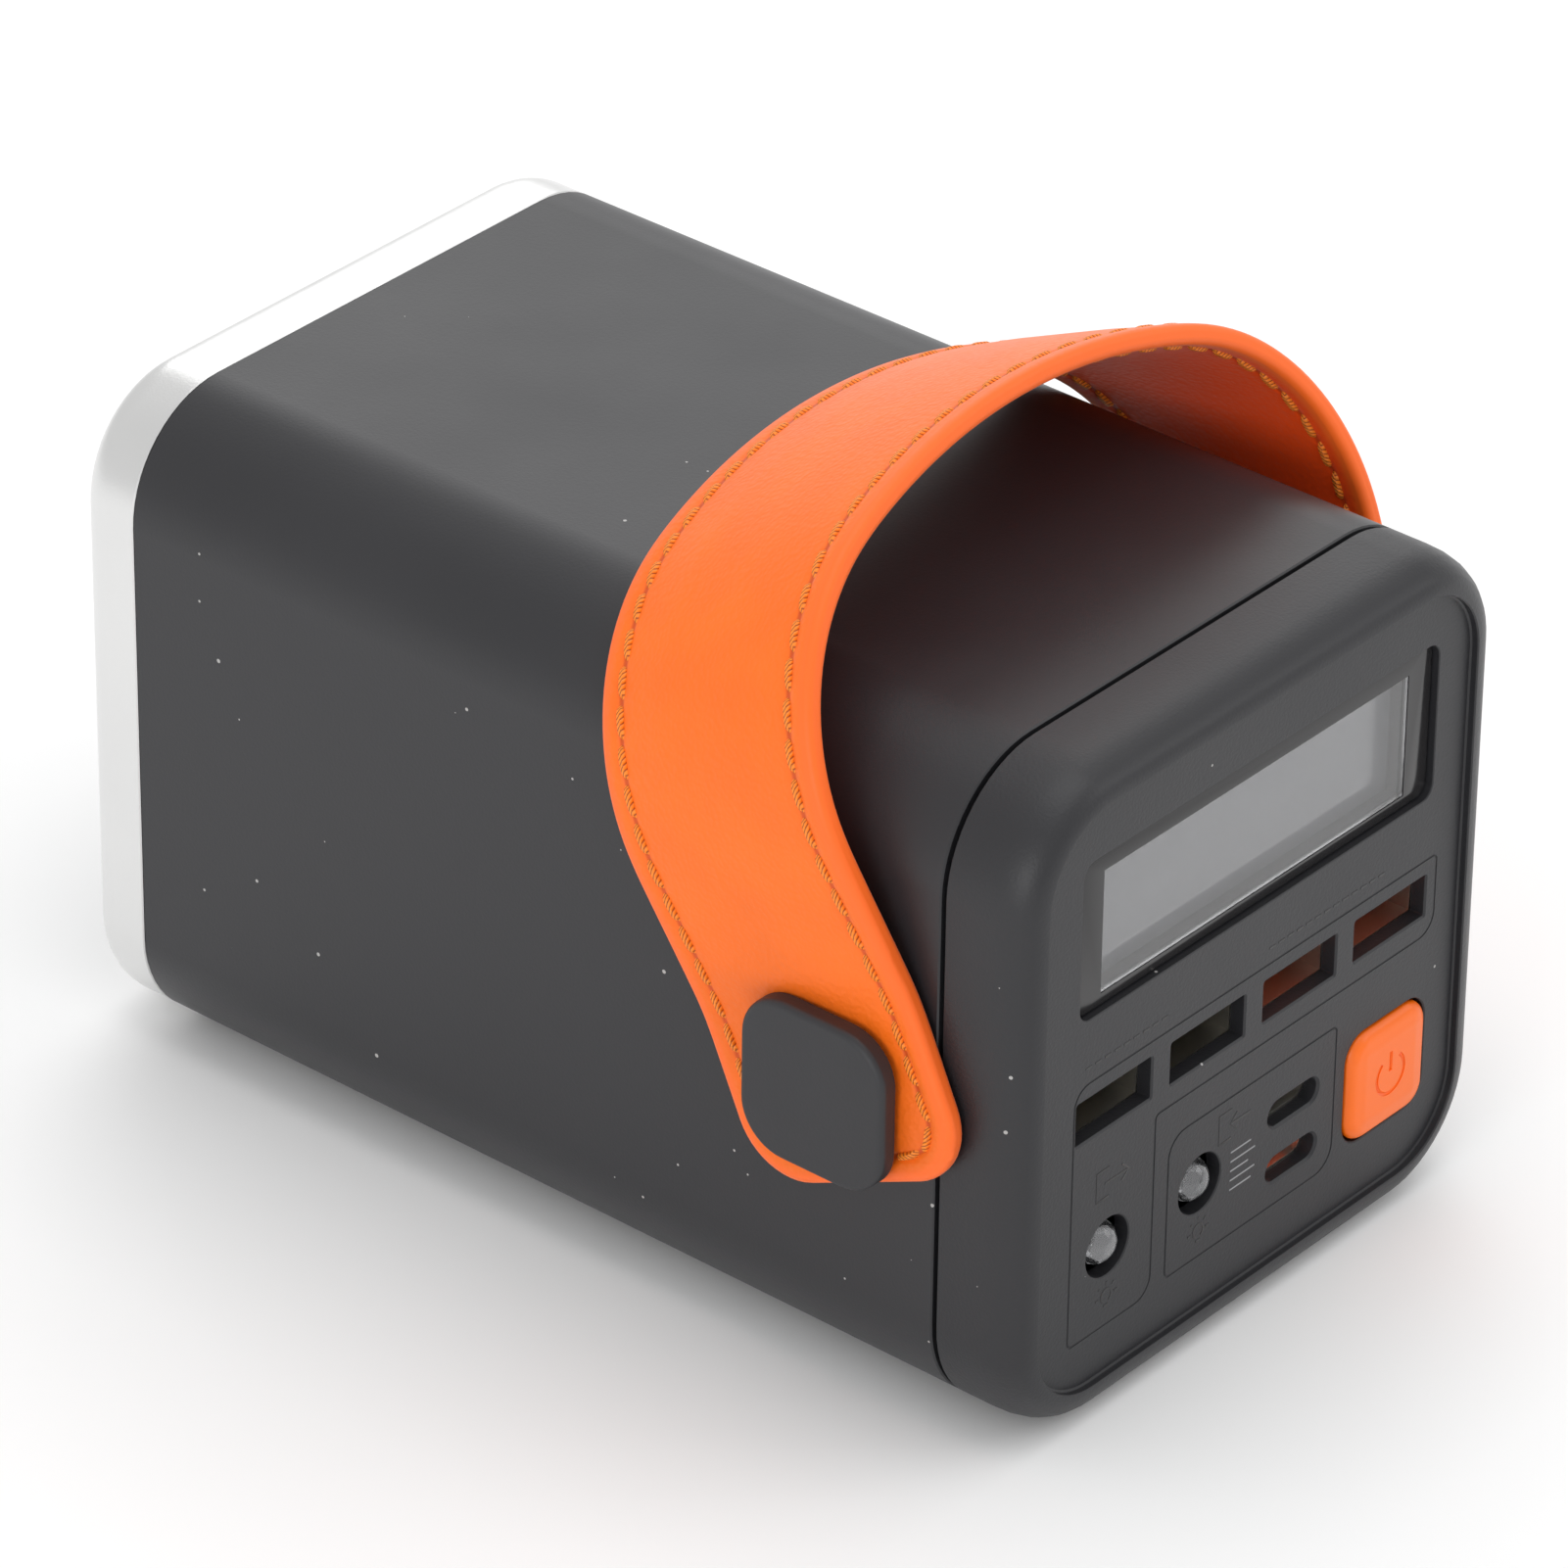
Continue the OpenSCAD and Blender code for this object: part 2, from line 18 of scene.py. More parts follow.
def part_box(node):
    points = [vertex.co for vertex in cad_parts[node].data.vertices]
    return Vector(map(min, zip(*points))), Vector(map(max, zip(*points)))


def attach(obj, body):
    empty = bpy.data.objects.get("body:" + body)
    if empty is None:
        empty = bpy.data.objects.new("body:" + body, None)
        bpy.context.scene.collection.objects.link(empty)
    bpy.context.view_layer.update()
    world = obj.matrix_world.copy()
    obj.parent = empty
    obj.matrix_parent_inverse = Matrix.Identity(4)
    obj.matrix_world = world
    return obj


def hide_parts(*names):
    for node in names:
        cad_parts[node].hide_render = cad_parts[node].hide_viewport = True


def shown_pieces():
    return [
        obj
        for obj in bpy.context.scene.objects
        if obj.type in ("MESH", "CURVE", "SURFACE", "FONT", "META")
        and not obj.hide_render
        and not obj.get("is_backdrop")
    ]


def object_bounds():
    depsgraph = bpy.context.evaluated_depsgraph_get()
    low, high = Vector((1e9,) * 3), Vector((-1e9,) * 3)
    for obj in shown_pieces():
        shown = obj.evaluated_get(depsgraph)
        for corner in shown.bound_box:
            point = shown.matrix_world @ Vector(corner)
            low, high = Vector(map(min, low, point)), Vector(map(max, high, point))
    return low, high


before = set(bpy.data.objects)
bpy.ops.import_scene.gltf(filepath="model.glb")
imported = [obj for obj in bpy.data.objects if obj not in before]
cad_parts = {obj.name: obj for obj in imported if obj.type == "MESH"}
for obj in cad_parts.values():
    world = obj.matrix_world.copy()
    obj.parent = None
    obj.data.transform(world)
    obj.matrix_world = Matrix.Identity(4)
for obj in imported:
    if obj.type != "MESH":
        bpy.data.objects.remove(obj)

MM = 0.001
PARALLEL = 0.999
CORNER_FACES = 14
FRONT, BACK = (0, -1, 0), (0, 1, 0)
BODY = "body"
STRAP_BODY = "carry_strap"
BUTTON_BODY = "button"
LOG = logging.getLogger("power_station")

Color = tuple[float, float, float]
Point2 = tuple[float, float]
DUST: Color = (0.42, 0.41, 0.40)


class Part(Enum):
    """What a selection picks."""

    VERTS = "VERT"
    EDGES = "EDGE"
    FACES = "FACE"


class Solver(Enum):
    """How a boolean cut is worked out: fast on many openings, or exact on fine open strokes."""

    FAST = "MANIFOLD"
    EXACT = "EXACT"


class Side(Enum):
    """The two sides of the station, by the sign of X."""

    LEFT = -1
    RIGHT = 1


# ---------------------------------------------------------------- modelling by hand


def clear_selection() -> None:
    """Deselects every object."""
    bpy.ops.object.select_all(action="DESELECT")


def make_active(obj: bpy.types.Object) -> None:
    """Selects one object alone and makes it active."""
    clear_selection()
    obj.select_set(True)
    bpy.context.view_layer.objects.active = obj


@contextmanager
def editing(obj: bpy.types.Object) -> Iterator[None]:
    """Holds a mesh in edit mode for the length of a with block."""
    make_active(obj)
    bpy.ops.object.mode_set(mode="EDIT")
    try:
        yield
    finally:
        bpy.ops.object.mode_set(mode="OBJECT")


def pick(obj: bpy.types.Object, part: Part, test: Callable[..., bool]) -> int:
    """Selects the vertices, edges or faces that pass a test, and nothing else.

    Args:
        obj: The mesh to select in.
        part: What to pick.
        test: Takes a vertex's place, an edge's two ends, or a face's centre and normal.

    Returns:
        How many were picked.
    """
    with editing(obj):
        bpy.ops.mesh.select_mode(type=part.value)
        bpy.ops.mesh.select_all(action="DESELECT")
    mesh = obj.data
    points = mesh.vertices
    if part is Part.VERTS:
        found = [v for v in points if test(v.co)]
    elif part is Part.EDGES:
        found = [e for e in mesh.edges if test(points[e.vertices[0]].co, points[e.vertices[1]].co)]
    else:
        found = [f for f in mesh.polygons if test(f.center, f.normal)]
    for item in found:
        item.select = True
    return len(found)


def name_new(name: str) -> bpy.types.Object:
    """Names the object just added and puts its place into its mesh: it ends at the origin, unturned."""
    obj = bpy.context.active_object
    obj.name = name
    obj.data.name = name
    bpy.ops.object.transform_apply(location=True, rotation=True, scale=True)
    return obj


def block(name: str, low: Sequence[float], high: Sequence[float]) -> bpy.types.Object:
    """Adds a box between its lowest and highest corners."""
    a, b = Vector(low), Vector(high)
    clear_selection()
    bpy.ops.mesh.primitive_cube_add(size=1, location=(a + b) / 2, scale=b - a)
    return name_new(name)


def round_edges(obj: bpy.types.Object, test: Callable[..., bool], radius: float, segments: int) -> None:
    """Bevels the edges that pass a test, to a radius, with a number of faces across."""
    if pick(obj, Part.EDGES, test):
        with editing(obj):
            bpy.ops.mesh.bevel(offset=radius, segments=segments, affect="EDGES", clamp_overlap=False)


def runs_along(axis: int) -> Callable[[Vector, Vector], bool]:
    """Makes a test for edges that run along X, Y or Z, given as 0, 1 or 2."""
    def test(a: Vector, b: Vector) -> bool:
        """Tells whether the edge runs along the axis."""
        d = b - a
        return abs(d[axis]) > PARALLEL * d.length > 0
    return test


def facing(direction: Sequence[float]) -> Callable[[Vector, Vector], bool]:
    """Makes a test for faces that look one way, given as a direction of length 1."""
    way = Vector(direction)

    def test(_centre: Vector, normal: Vector) -> bool:
        """Tells whether the face looks that way."""
        return normal.dot(way) > PARALLEL
    return test


def rounded_bar(
    name: str, centre: Point2, size: Point2, radius: float, span: Point2, segments: int = 8
) -> bpy.types.Object:
    """Adds a bar along Y with a rounded rectangle for its section.

    Args:
        name: The piece's name.
        centre: The section's X and Z.
        size: The section's width and height.
        radius: Its corner radius.
        span: The lowest and highest Y.
        segments: Faces round each corner.

    Returns:
        The bar.
    """
    half_w, half_h = size[0] / 2, size[1] / 2
    bar = block(
        name,
        (centre[0] - half_w, span[0], centre[1] - half_h),
        (centre[0] + half_w, span[1], centre[1] + half_h),
    )
    if radius > 0:
        round_edges(bar, runs_along(1), min(radius, half_w * 0.999, half_h * 0.999), segments)
    return bar


def raise_face(
    obj: bpy.types.Object, test: Callable[..., bool], steps: Sequence[Point2]
) -> None:
    """Insets a face step by step, so that its outline follows a profile.

    Args:
        obj: The mesh to shape.
        test: Takes a face's centre and normal, and picks the face.
        steps: Each step's inset and rise along the face's normal.
    """
    pick(obj, Part.FACES, test)
    with editing(obj):
        for inset, rise in steps:
            bpy.ops.mesh.inset(thickness=max(inset, 1e-6), depth=rise, use_even_offset=True)


def quarter_round(radius: float, count: int, depth: float | None = None) -> list[Point2]:
    """Works out the inset and rise steps of a rounded edge.

    Args:
        radius: How far it reaches in from the side.
        count: The number of steps.
        depth: How far it reaches along the normal, if that isn't the radius.

    Returns:
        The steps for raise_face.
    """
    reach = radius if depth is None else depth
    turns = [math.pi / 2 * i / count for i in range(count + 1)]
    return [
        (radius * (math.cos(a) - math.cos(b)), reach * (math.sin(b) - math.sin(a)))
        for a, b in zip(turns, turns[1:])
    ]


def apply_modifiers(obj: bpy.types.Object) -> None:
    """Applies all of an object's modifiers in order."""
    make_active(obj)
    for name in [m.name for m in obj.modifiers]:
        bpy.ops.object.modifier_apply(modifier=name)


def join(name: str, parts: Sequence[bpy.types.Object]) -> bpy.types.Object:
    """Joins several meshes into one of a new name."""
    make_active(parts[0])
    for part in parts[1:]:
        part.select_set(True)
    if len(parts) > 1:
        bpy.ops.object.join()
    joined = bpy.context.active_object
    joined.name = name
    joined.data.name = name
    return joined


def cut(obj: bpy.types.Object, cutters: Sequence[bpy.types.Object], solver: Solver = Solver.FAST) -> None:
    """Cuts other meshes out of an object and removes them.

    Args:
        obj: The mesh to cut.
        cutters: Closed meshes that don't touch each other.
        solver: How the cut is worked out.
    """
    tools = [join("cutter", cutters)] if solver is Solver.FAST else cutters
    for tool in tools:
        make_active(obj)
        bpy.ops.object.modifier_add(type="BOOLEAN")
        boolean = obj.modifiers[-1]
        boolean.operation = "DIFFERENCE"
        boolean.solver = solver.value
        boolean.object = tool
        bpy.ops.object.modifier_apply(modifier=boolean.name)
        bpy.data.objects.remove(tool)


def smooth(obj: bpy.types.Object, angle: float = 32.0, weighted: bool = True) -> None:
    """Shades a piece smooth up to an angle, with its flat faces kept flat.

    Args:
        obj: The piece.
        angle: The sharpest smooth edge, in degrees.
        weighted: Whether large faces rule the shading, which a face with a hole in it can't.
    """
    make_active(obj)
    bpy.ops.object.shade_smooth_by_angle(angle=math.radians(angle))
    if not weighted:
        return
    bpy.ops.object.modifier_add(type="WEIGHTED_NORMAL")
    shading = obj.modifiers[-1]
    shading.keep_sharp = True
    shading.weight = 100
    apply_modifiers(obj)


def turn_outward(obj: bpy.types.Object) -> None:
    """Turns all faces of a closed mesh outward."""
    with editing(obj):
        bpy.ops.mesh.select_all(action="SELECT")
        bpy.ops.mesh.normals_make_consistent(inside=False)


def rounded_path(corners: Sequence[tuple[float, float, float]], steps: int = 6) -> list[Point2]:
    """Rounds the corners of a closed outline with arcs.

    Args:
        corners: Each square corner's X, Z and radius, in order.
        steps: Chords round each corner.

    Returns:
        The outline's points.
    """
    points: list[Point2] = []
    for i, (x, z, radius) in enumerate(corners):
        here = Vector((x, z))
        back = (Vector(corners[i - 1][:2]) - here).normalized()
        ahead = (Vector(corners[(i + 1) % len(corners)][:2]) - here).normalized()
        middle = here + (back + ahead) * radius
        for k in range(steps + 1):
            turn = math.pi / 2 * k / steps
            p = middle - ahead * radius * math.cos(turn) - back * radius * math.sin(turn)
            points.append((p.x, p.y))
    return points


def wire(
    name: str, points: Sequence[Sequence[float]], radius: float, closed: bool = False, sides: int = 1
) -> bpy.types.Object:
    """Makes a round wire along a line, as a mesh.

    Args:
        name: Its name.
        points: The line's points.
        radius: The wire's radius.
        closed: Whether the line closes on itself.
        sides: The curve's bevel resolution.

    Returns:
        The wire's mesh.
    """
    curve = bpy.data.curves.new(name, "CURVE")
    curve.dimensions = "3D"
    curve.bevel_depth = radius
    curve.bevel_resolution = sides
    curve.use_fill_caps = True
    spline = curve.splines.new("POLY")
    spline.points.add(len(points) - 1)
    for knot, p in zip(spline.points, points):
        knot.co = (*p, 1)
    spline.use_cyclic_u = closed
    obj = bpy.data.objects.new(name, curve)
    bpy.context.scene.collection.objects.link(obj)
    make_active(obj)
    bpy.ops.object.convert(target="MESH")
    obj = bpy.context.active_object
    with editing(obj):
        bpy.ops.mesh.select_all(action="SELECT")
        bpy.ops.mesh.remove_doubles(threshold=1e-5)
    turn_outward(obj)
    return obj


def place(piece: bpy.types.Object, body: str, slot: str, *nodes: str) -> None:
    """Puts a finished piece into metres and onto its body, and reports it.

    Args:
        piece: The finished piece.
        body: The body that it rides on.
        slot: Not used.
        nodes: The nodes that it stands for.
    """
    piece.scale = (MM, MM, MM)
    make_active(piece)
    bpy.ops.object.transform_apply(location=True, rotation=True, scale=True)
    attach(piece, body)
    if nodes:
        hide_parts(*nodes)
    LOG.info("%s on %s: %d faces", piece.name, body, len(piece.data.polygons))


def dress(obj: bpy.types.Object, *materials: bpy.types.Material) -> None:
    """Gives an object its materials in order."""
    obj.data.materials.clear()
    for material in materials:
        obj.data.materials.append(material)


def settle(
    piece: bpy.types.Object, material: bpy.types.Material, body: str, slot: str, *nodes: str,
    angle: float = 32.0, weighted: bool = True,
) -> None:
    """Dresses and smooths a finished piece, then puts it in its place.

    Args:
        piece: The finished piece.
        material: Its material.
        body: The body that it rides on.
        slot: A material slot's name, handed on to place.
        nodes: The nodes that it stands for.
        angle: The sharpest smooth edge, in degrees.
        weighted: Whether large faces rule the shading.
    """
    dress(piece, material)
    smooth(piece, angle, weighted)
    place(piece, body, slot, *nodes)


def node_box(node: str) -> tuple[Vector, Vector]:
    """Reads a node's lowest and highest corners, in millimetres."""
    low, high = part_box(node)
    return low / MM, high / MM


def rod(name: str, centre: Point2, radius: float, span: Point2, sides: int = 48) -> bpy.types.Object:
    """Adds a round rod along Y.

    Args:
        name: Its name.
        centre: Its X and Z.
        radius: Its radius.
        span: The lowest and highest Y.
        sides: Its number of sides.

    Returns:
        The rod.
    """
    clear_selection()
    bpy.ops.mesh.primitive_cylinder_add(
        vertices=sides,
        radius=radius,
        depth=span[1] - span[0],
        location=(centre[0], (span[0] + span[1]) / 2, centre[1]),
        rotation=(math.pi / 2, 0, 0),
    )
    return name_new(name)


def mouth_cutter(
    centre: Point2, size: Point2, radius: float, face: float, depth: float, chamfer: float
) -> bpy.types.Object:
    """Makes a cutter for an opening in a face that looks along -Y, with a chamfered mouth.

    Args:
        centre: The opening's X and Z.
        size: Its width and height.
        radius: Its corner radius.
        face: The Y of the face that it is cut into.
        depth: How deep it goes.
        chamfer: The chamfer's width.

    Returns:
        The cutter.
    """
    grown = (size[0] + 2 * chamfer, size[1] + 2 * chamfer)
    cutter = rounded_bar("cutter", centre, grown, radius + chamfer, (face - 2, face))
    raise_face(cutter, facing(BACK), [(chamfer, chamfer), (0, depth - chamfer)])
    return cutter


def hollow(obj: bpy.types.Object, centre: Point2, size: float, radius: float, span: Point2) -> None:
    """Hollows a shell out with a rounded square bar along Y, between two Y values."""
    cut(obj, [rounded_bar("cutter", centre, (size, size), radius, span)])


# ---------------------------------------------------------------- finishes


class Board:
    """A node tree that is being filled."""

    def __init__(self, tree: bpy.types.NodeTree) -> None:
        """Starts with a tree.

        Args:
            tree: The node tree to fill.
        """
        self.tree = tree

    def add(self, kind: str, inputs: dict[str | int, Any] | None = None, **settings: Any) -> bpy.types.Node:
        """Adds a node.

        Args:
            kind: The node's type.
            inputs: Its inputs by name or number: a socket is linked, and anything else is set.
            settings: Its other properties.

        Returns:
            The node.
        """
        node = self.tree.nodes.new(kind)
        for key, value in settings.items():
            setattr(node, key, value)
        self.feed(node, inputs or {})
        return node

    def feed(self, node: bpy.types.Node, inputs: dict[str | int, Any]) -> None:
        """Feeds a node's inputs.

        Args:
            node: The node.
            inputs: Its inputs by name or number: a socket is linked, and anything else is set.
        """
        for key, value in inputs.items():
            if isinstance(value, bpy.types.NodeSocket):
                self.tree.links.new(value, node.inputs[key])
            else:
                node.inputs[key].default_value = value

    def place_in(self) -> bpy.types.NodeSocket:
        """Adds the place on the object, in its own coordinates."""
        return self.add("ShaderNodeTexCoord").outputs["Object"]

    def noise(self, scale: Any, detail: float) -> bpy.types.NodeSocket:
        """Adds soft noise over the object, from 0 to 1."""
        inputs = {"Vector": self.place_in(), "Scale": scale, "Detail": detail}
        return self.add("ShaderNodeTexNoise", inputs).outputs["Fac"]

    def bump(self, strength: Any, distance: float, height: Any) -> bpy.types.NodeSocket:
        """Adds a bumped normal from a height."""
        inputs = {"Strength": strength, "Distance": distance, "Height": height}
        return self.add("ShaderNodeBump", inputs).outputs["Normal"]

    def math(self, operation: str, a: Any, b: Any = 0.0, clamp: bool = False) -> bpy.types.NodeSocket:
        """Adds a Math node.

        Args:
            operation: What it does.
            a: Its first value.
            b: Its second value.
            clamp: Whether the result stays between 0 and 1.

        Returns:
            The result.
        """
        return self.add("ShaderNodeMath", {0: a, 1: b}, operation=operation, use_clamp=clamp).outputs[0]

    def ramp(
        self, value: Any, low: float, high: float, to_low: float = 0.0, to_high: float = 1.0
    ) -> bpy.types.NodeSocket:
        """Maps a value smoothly from one range to another.

        Args:
            value: The value.
            low: The start of its range.
            high: The end of its range.
            to_low: What the start becomes.
            to_high: What the end becomes.

        Returns:
            The result.
        """
        inputs = {"Value": value, "From Min": low, "From Max": high, "To Min": to_low, "To Max": to_high}
        return self.add("ShaderNodeMapRange", inputs, interpolation_type="SMOOTHSTEP").outputs[0]

    def mix(self, factor: Any, a: Any, b: Any) -> bpy.types.NodeSocket:
        """Mixes two colours: the factor is how much of the second."""
        colors = {
            number: value if isinstance(value, bpy.types.NodeSocket) else (*value, 1)
            for number, value in ((6, a), (7, b))
        }
        return self.add("ShaderNodeMix", {0: factor, **colors}, data_type="RGBA").outputs[2]


def new_group(name: str, inputs: dict[str, float], outputs: dict[str, str]) -> tuple[Board, Any, Any]:
    """Starts a shader node group.

    Args:
        name: Its name.
        inputs: Each number that goes in, with its usual value.
        outputs: Each result, with its kind of socket.

    Returns:
        The board, the group's input node and its output node.
    """
    tree = bpy.data.node_groups.new(name, "ShaderNodeTree")
    for key, value in inputs.items():
        socket = tree.interface.new_socket(name=key, in_out="INPUT", socket_type="NodeSocketFloat")
        socket.default_value = value
    for key, kind in outputs.items():
        tree.interface.new_socket(name=key, in_out="OUTPUT", socket_type=kind)
    board = Board(tree)
    return board, board.add("NodeGroupInput"), board.add("NodeGroupOutput")


def shared_group(name: str, build: Callable[[str], bpy.types.NodeTree]) -> bpy.types.NodeTree:
    """Finds a node group by its name, or builds it the first time."""
    return bpy.data.node_groups.get(name) or build(name)


def build_moulded_grain(name: str) -> bpy.types.NodeTree:
    """Builds the fine grain of moulded surfaces: it puts out a roughness, a normal and a mottling."""
    inputs = {"Scale": 2600.0, "Height": 0.15, "Roughness": 0.5, "Spread": 0.06}
    outputs = {"Roughness": "NodeSocketFloat", "Normal": "NodeSocketVector", "Mottle": "NodeSocketFloat"}
    board, given, result = new_group(name, inputs, outputs)
    fine = board.noise(given.outputs["Scale"], 3.0)
    cloudy = board.noise(42.0, 4.0)
    drift = board.math("MULTIPLY", board.math("SUBTRACT", cloudy, 0.5), given.outputs["Spread"])
    rough = board.math("ADD", given.outputs["Roughness"], board.math("MULTIPLY", drift, 4.0), clamp=True)
    normal = board.bump(given.outputs["Height"], 0.0002, fine)
    board.feed(result, {"Roughness": rough, "Normal": normal, "Mottle": board.ramp(cloudy, 0.3, 0.7)})
    return board.tree


def build_dust_specks(name: str) -> bpy.types.NodeTree:
    """Builds the scattered pale specks of a handled surface: it puts out a mask."""
    inputs = {"Amount": 0.2, "Scale": 210.0}
    board, given, result = new_group(name, inputs, {"Mask": "NodeSocketFloat"})
    cells = board.add(
        "ShaderNodeTexVoronoi", {"Vector": board.place_in(), "Scale": given.outputs["Scale"]}, feature="F1"
    )
    luck = board.add("ShaderNodeSeparateColor", {"Color": cells.outputs["Color"]})
    size = board.math("MULTIPLY", luck.outputs["Green"], 0.045)
    near = board.math("LESS_THAN", cells.outputs["Distance"], board.math("ADD", size, 0.012))
    chosen = board.math("LESS_THAN", luck.outputs["Red"], given.outputs["Amount"])
    board.feed(result, {"Mask": board.math("MULTIPLY", near, chosen)})
    return board.tree


def build_edge_wear_and_sheen(name: str) -> bpy.types.NodeTree:
    """Builds a mask of the rounded edges, in patches: partly edges that hands and cloth rub, partly a
    painted edge highlight.
    """
    board, given, result = new_group(name, {"Width": 0.0004, "Amount": 0.5}, {"Mask": "NodeSocketFloat"})
    rounded = board.add("ShaderNodeBevel", {"Radius": given.outputs["Width"]}, samples=4)
    true_normal = board.add("ShaderNodeNewGeometry").outputs["Normal"]
    turned = board.add(
        "ShaderNodeVectorMath", {0: rounded.outputs["Normal"], 1: true_normal}, operation="DOT_PRODUCT"
    )
    gap = board.math("SUBTRACT", 1.0, turned.outputs["Value"])
    patchy = board.ramp(board.noise(160.0, 4.0), 0.35, 0.7)
    wear_sheen_mask = board.math("MULTIPLY", board.ramp(gap, 0.01, 0.16), patchy)
    board.feed(result, {"Mask": board.math("MULTIPLY", wear_sheen_mask, given.outputs["Amount"])})
    return board.tree


def start_material(name: str) -> tuple[bpy.types.Material, Board, bpy.types.Node]:
    """Starts a material, and gives it back with its board and its one Principled shader."""
    material = bpy.data.materials.new(name)
    material.use_nodes = True
    material.node_tree.nodes.clear()
    board = Board(material.node_tree)
    shader = board.add("ShaderNodeBsdfPrincipled")
    board.add("ShaderNodeOutputMaterial", {"Surface": shader.outputs["BSDF"]})
    return material, board, shader


@dataclass(frozen=True)
class Finish:
    """A moulded, painted or metal finish with grain, mottling, tinted edges and specks: the edge tint is
    partly wear, and on the grey plastics partly a painted edge highlight.
    """

    name: str
    color: Color
    roughness: float
    metallic: float = 0.0
    grain_scale: float = 2600.0
    grain_height: float = 0.15
    mottle: float = 0.08
    spread: float = 0.04
    edge_wear_sheen_amount: float = 0.0
    edge_wear_sheen_color: Color = (0.3, 0.3, 0.3)
    dust: float = 0.0
    coat: float = 0.0
    specular: float = 0.5

    def make(self) -> bpy.types.Material:
        """Builds the material and returns it."""
        material, board, shader = start_material(self.name)
        numbers = {
            "Scale": self.grain_scale, "Height": self.grain_height,
            "Roughness": self.roughness, "Spread": self.spread,
        }
        group = shared_group("moulded_grain", build_moulded_grain)
        grain = board.add("ShaderNodeGroup", numbers, node_tree=group)
        darker = tuple(c * (1 - self.mottle) for c in self.color)
        color = board.mix(grain.outputs["Mottle"], darker, self.color)
        # edge tint: partly wear; where it is lighter than the colour, it is also a painted edge highlight
        if self.edge_wear_sheen_amount:
            group = shared_group("worn_edges", build_edge_wear_and_sheen)
            edges = board.add("ShaderNodeGroup", {"Amount": self.edge_wear_sheen_amount}, node_tree=group)
            color = board.mix(edges.outputs["Mask"], color, self.edge_wear_sheen_color)
        if self.dust:
            group = shared_group("dust_specks", build_dust_specks)
            specks = board.add("ShaderNodeGroup", {"Amount": self.dust}, node_tree=group)
            color = board.mix(specks.outputs["Mask"], color, DUST)
        board.feed(shader, {
            "Base Color": color, "Roughness": grain.outputs["Roughness"], "Normal": grain.outputs["Normal"],
            "Metallic": self.metallic, "Coat Weight": self.coat, "Coat Roughness": 0.08,
            "Specular IOR Level": self.specular,
        })
        return material


@dataclass(frozen=True)
class Leather:
    """Smooth dyed leather: fine pores and creases on the faces, a smooth painted edge, and painted shade
    along the stitch lines.
    """

    name: str = "strap_leather"
    color: Color = (1.0, 0.165, 0.003)
    inner_color: Color = (0.95, 0.08, 0.004)
    edge_color: Color = (1.0, 0.15, 0.012)
    # the colour of the painted shade along the stitch grooves
    seam_shade_color: Color = (0.5, 0.045, 0.003)
    seam_gap: float = 3.3
    pore_scale: float = 1500.0
    roughness: float = 0.42

    def make(self) -> bpy.types.Material:
        """Builds the material, which reads the strap's edge_gap and inner_side attributes."""
        material, board, shader = start_material(self.name)
        place_in = board.place_in()
        wander = board.add("ShaderNodeTexNoise", {"Vector": place_in, "Scale": 700.0, "Detail": 2.0})
        shifted = board.add(
            "ShaderNodeVectorMath",
            {0: wander.outputs["Color"], "Scale": 0.0006},
            operation="SCALE",
        )
        moved = board.add("ShaderNodeVectorMath", {0: place_in, 1: shifted.outputs[0]}, operation="ADD")
        pores = board.add(
            "ShaderNodeTexVoronoi",
            {"Vector": moved.outputs[0], "Scale": self.pore_scale, "Smoothness": 0.6},
            feature="SMOOTH_F1",
        )
        broad = board.noise(90.0, 5.0)
        gap = board.add("ShaderNodeAttribute", attribute_name="edge_gap").outputs["Fac"]
        inner = board.add("ShaderNodeAttribute", attribute_name="inner_side").outputs["Fac"]
        face = board.ramp(gap, 0.9, 2.2)
        pebble = board.math("MULTIPLY", board.math("POWER", pores.outputs["Distance"], 1.4), face)
        height = board.math("ADD", pebble, board.math("MULTIPLY", broad, 0.5))
        deeper = tuple(c * 0.9 for c in self.color)
        tone = board.mix(board.ramp(broad, 0.3, 0.72), deeper, self.color)
        faces = board.mix(inner, tone, self.inner_color)
        # painted shade: the leather is darker along the stitch lines, where the grooves hold shade
        from_seam = board.math("ABSOLUTE", board.math("SUBTRACT", gap, self.seam_gap))
        seam_shaded = board.mix(board.ramp(from_seam, 0.1, 0.5, 0.7, 0.0), faces, self.seam_shade_color)
        color = board.mix(face, self.edge_color, seam_shaded)
        rough = board.math("ADD", board.math("MULTIPLY", pores.outputs["Distance"], 0.12), self.roughness)
        board.feed(shader, {
            "Base Color": color, "Roughness": rough, "Normal": board.bump(0.32, 0.00022, height),
            "Specular IOR Level": 0.4, "Sheen Weight": 0.12, "Sheen Roughness": 0.4,
        })
        return material


@dataclass(frozen=True)
class Clear:
    """Clear moulded plastic or epoxy."""

    name: str
    color: Color = (0.98, 0.985, 0.99)
    roughness: float = 0.04
    ior: float = 1.49
    clearness: float = 1.0

    def make(self) -> bpy.types.Material:
        """Builds the material, with a faint unevenness in its polish."""
        material, board, shader = start_material(self.name)
        rough = board.ramp(board.noise(260.0, 3.0), 0.35, 0.8, self.roughness, self.roughness + 0.05)
        board.feed(shader, {
            "Base Color": (*self.color, 1), "Roughness": rough,
            "Transmission Weight": self.clearness, "IOR": self.ior,
        })
        return material


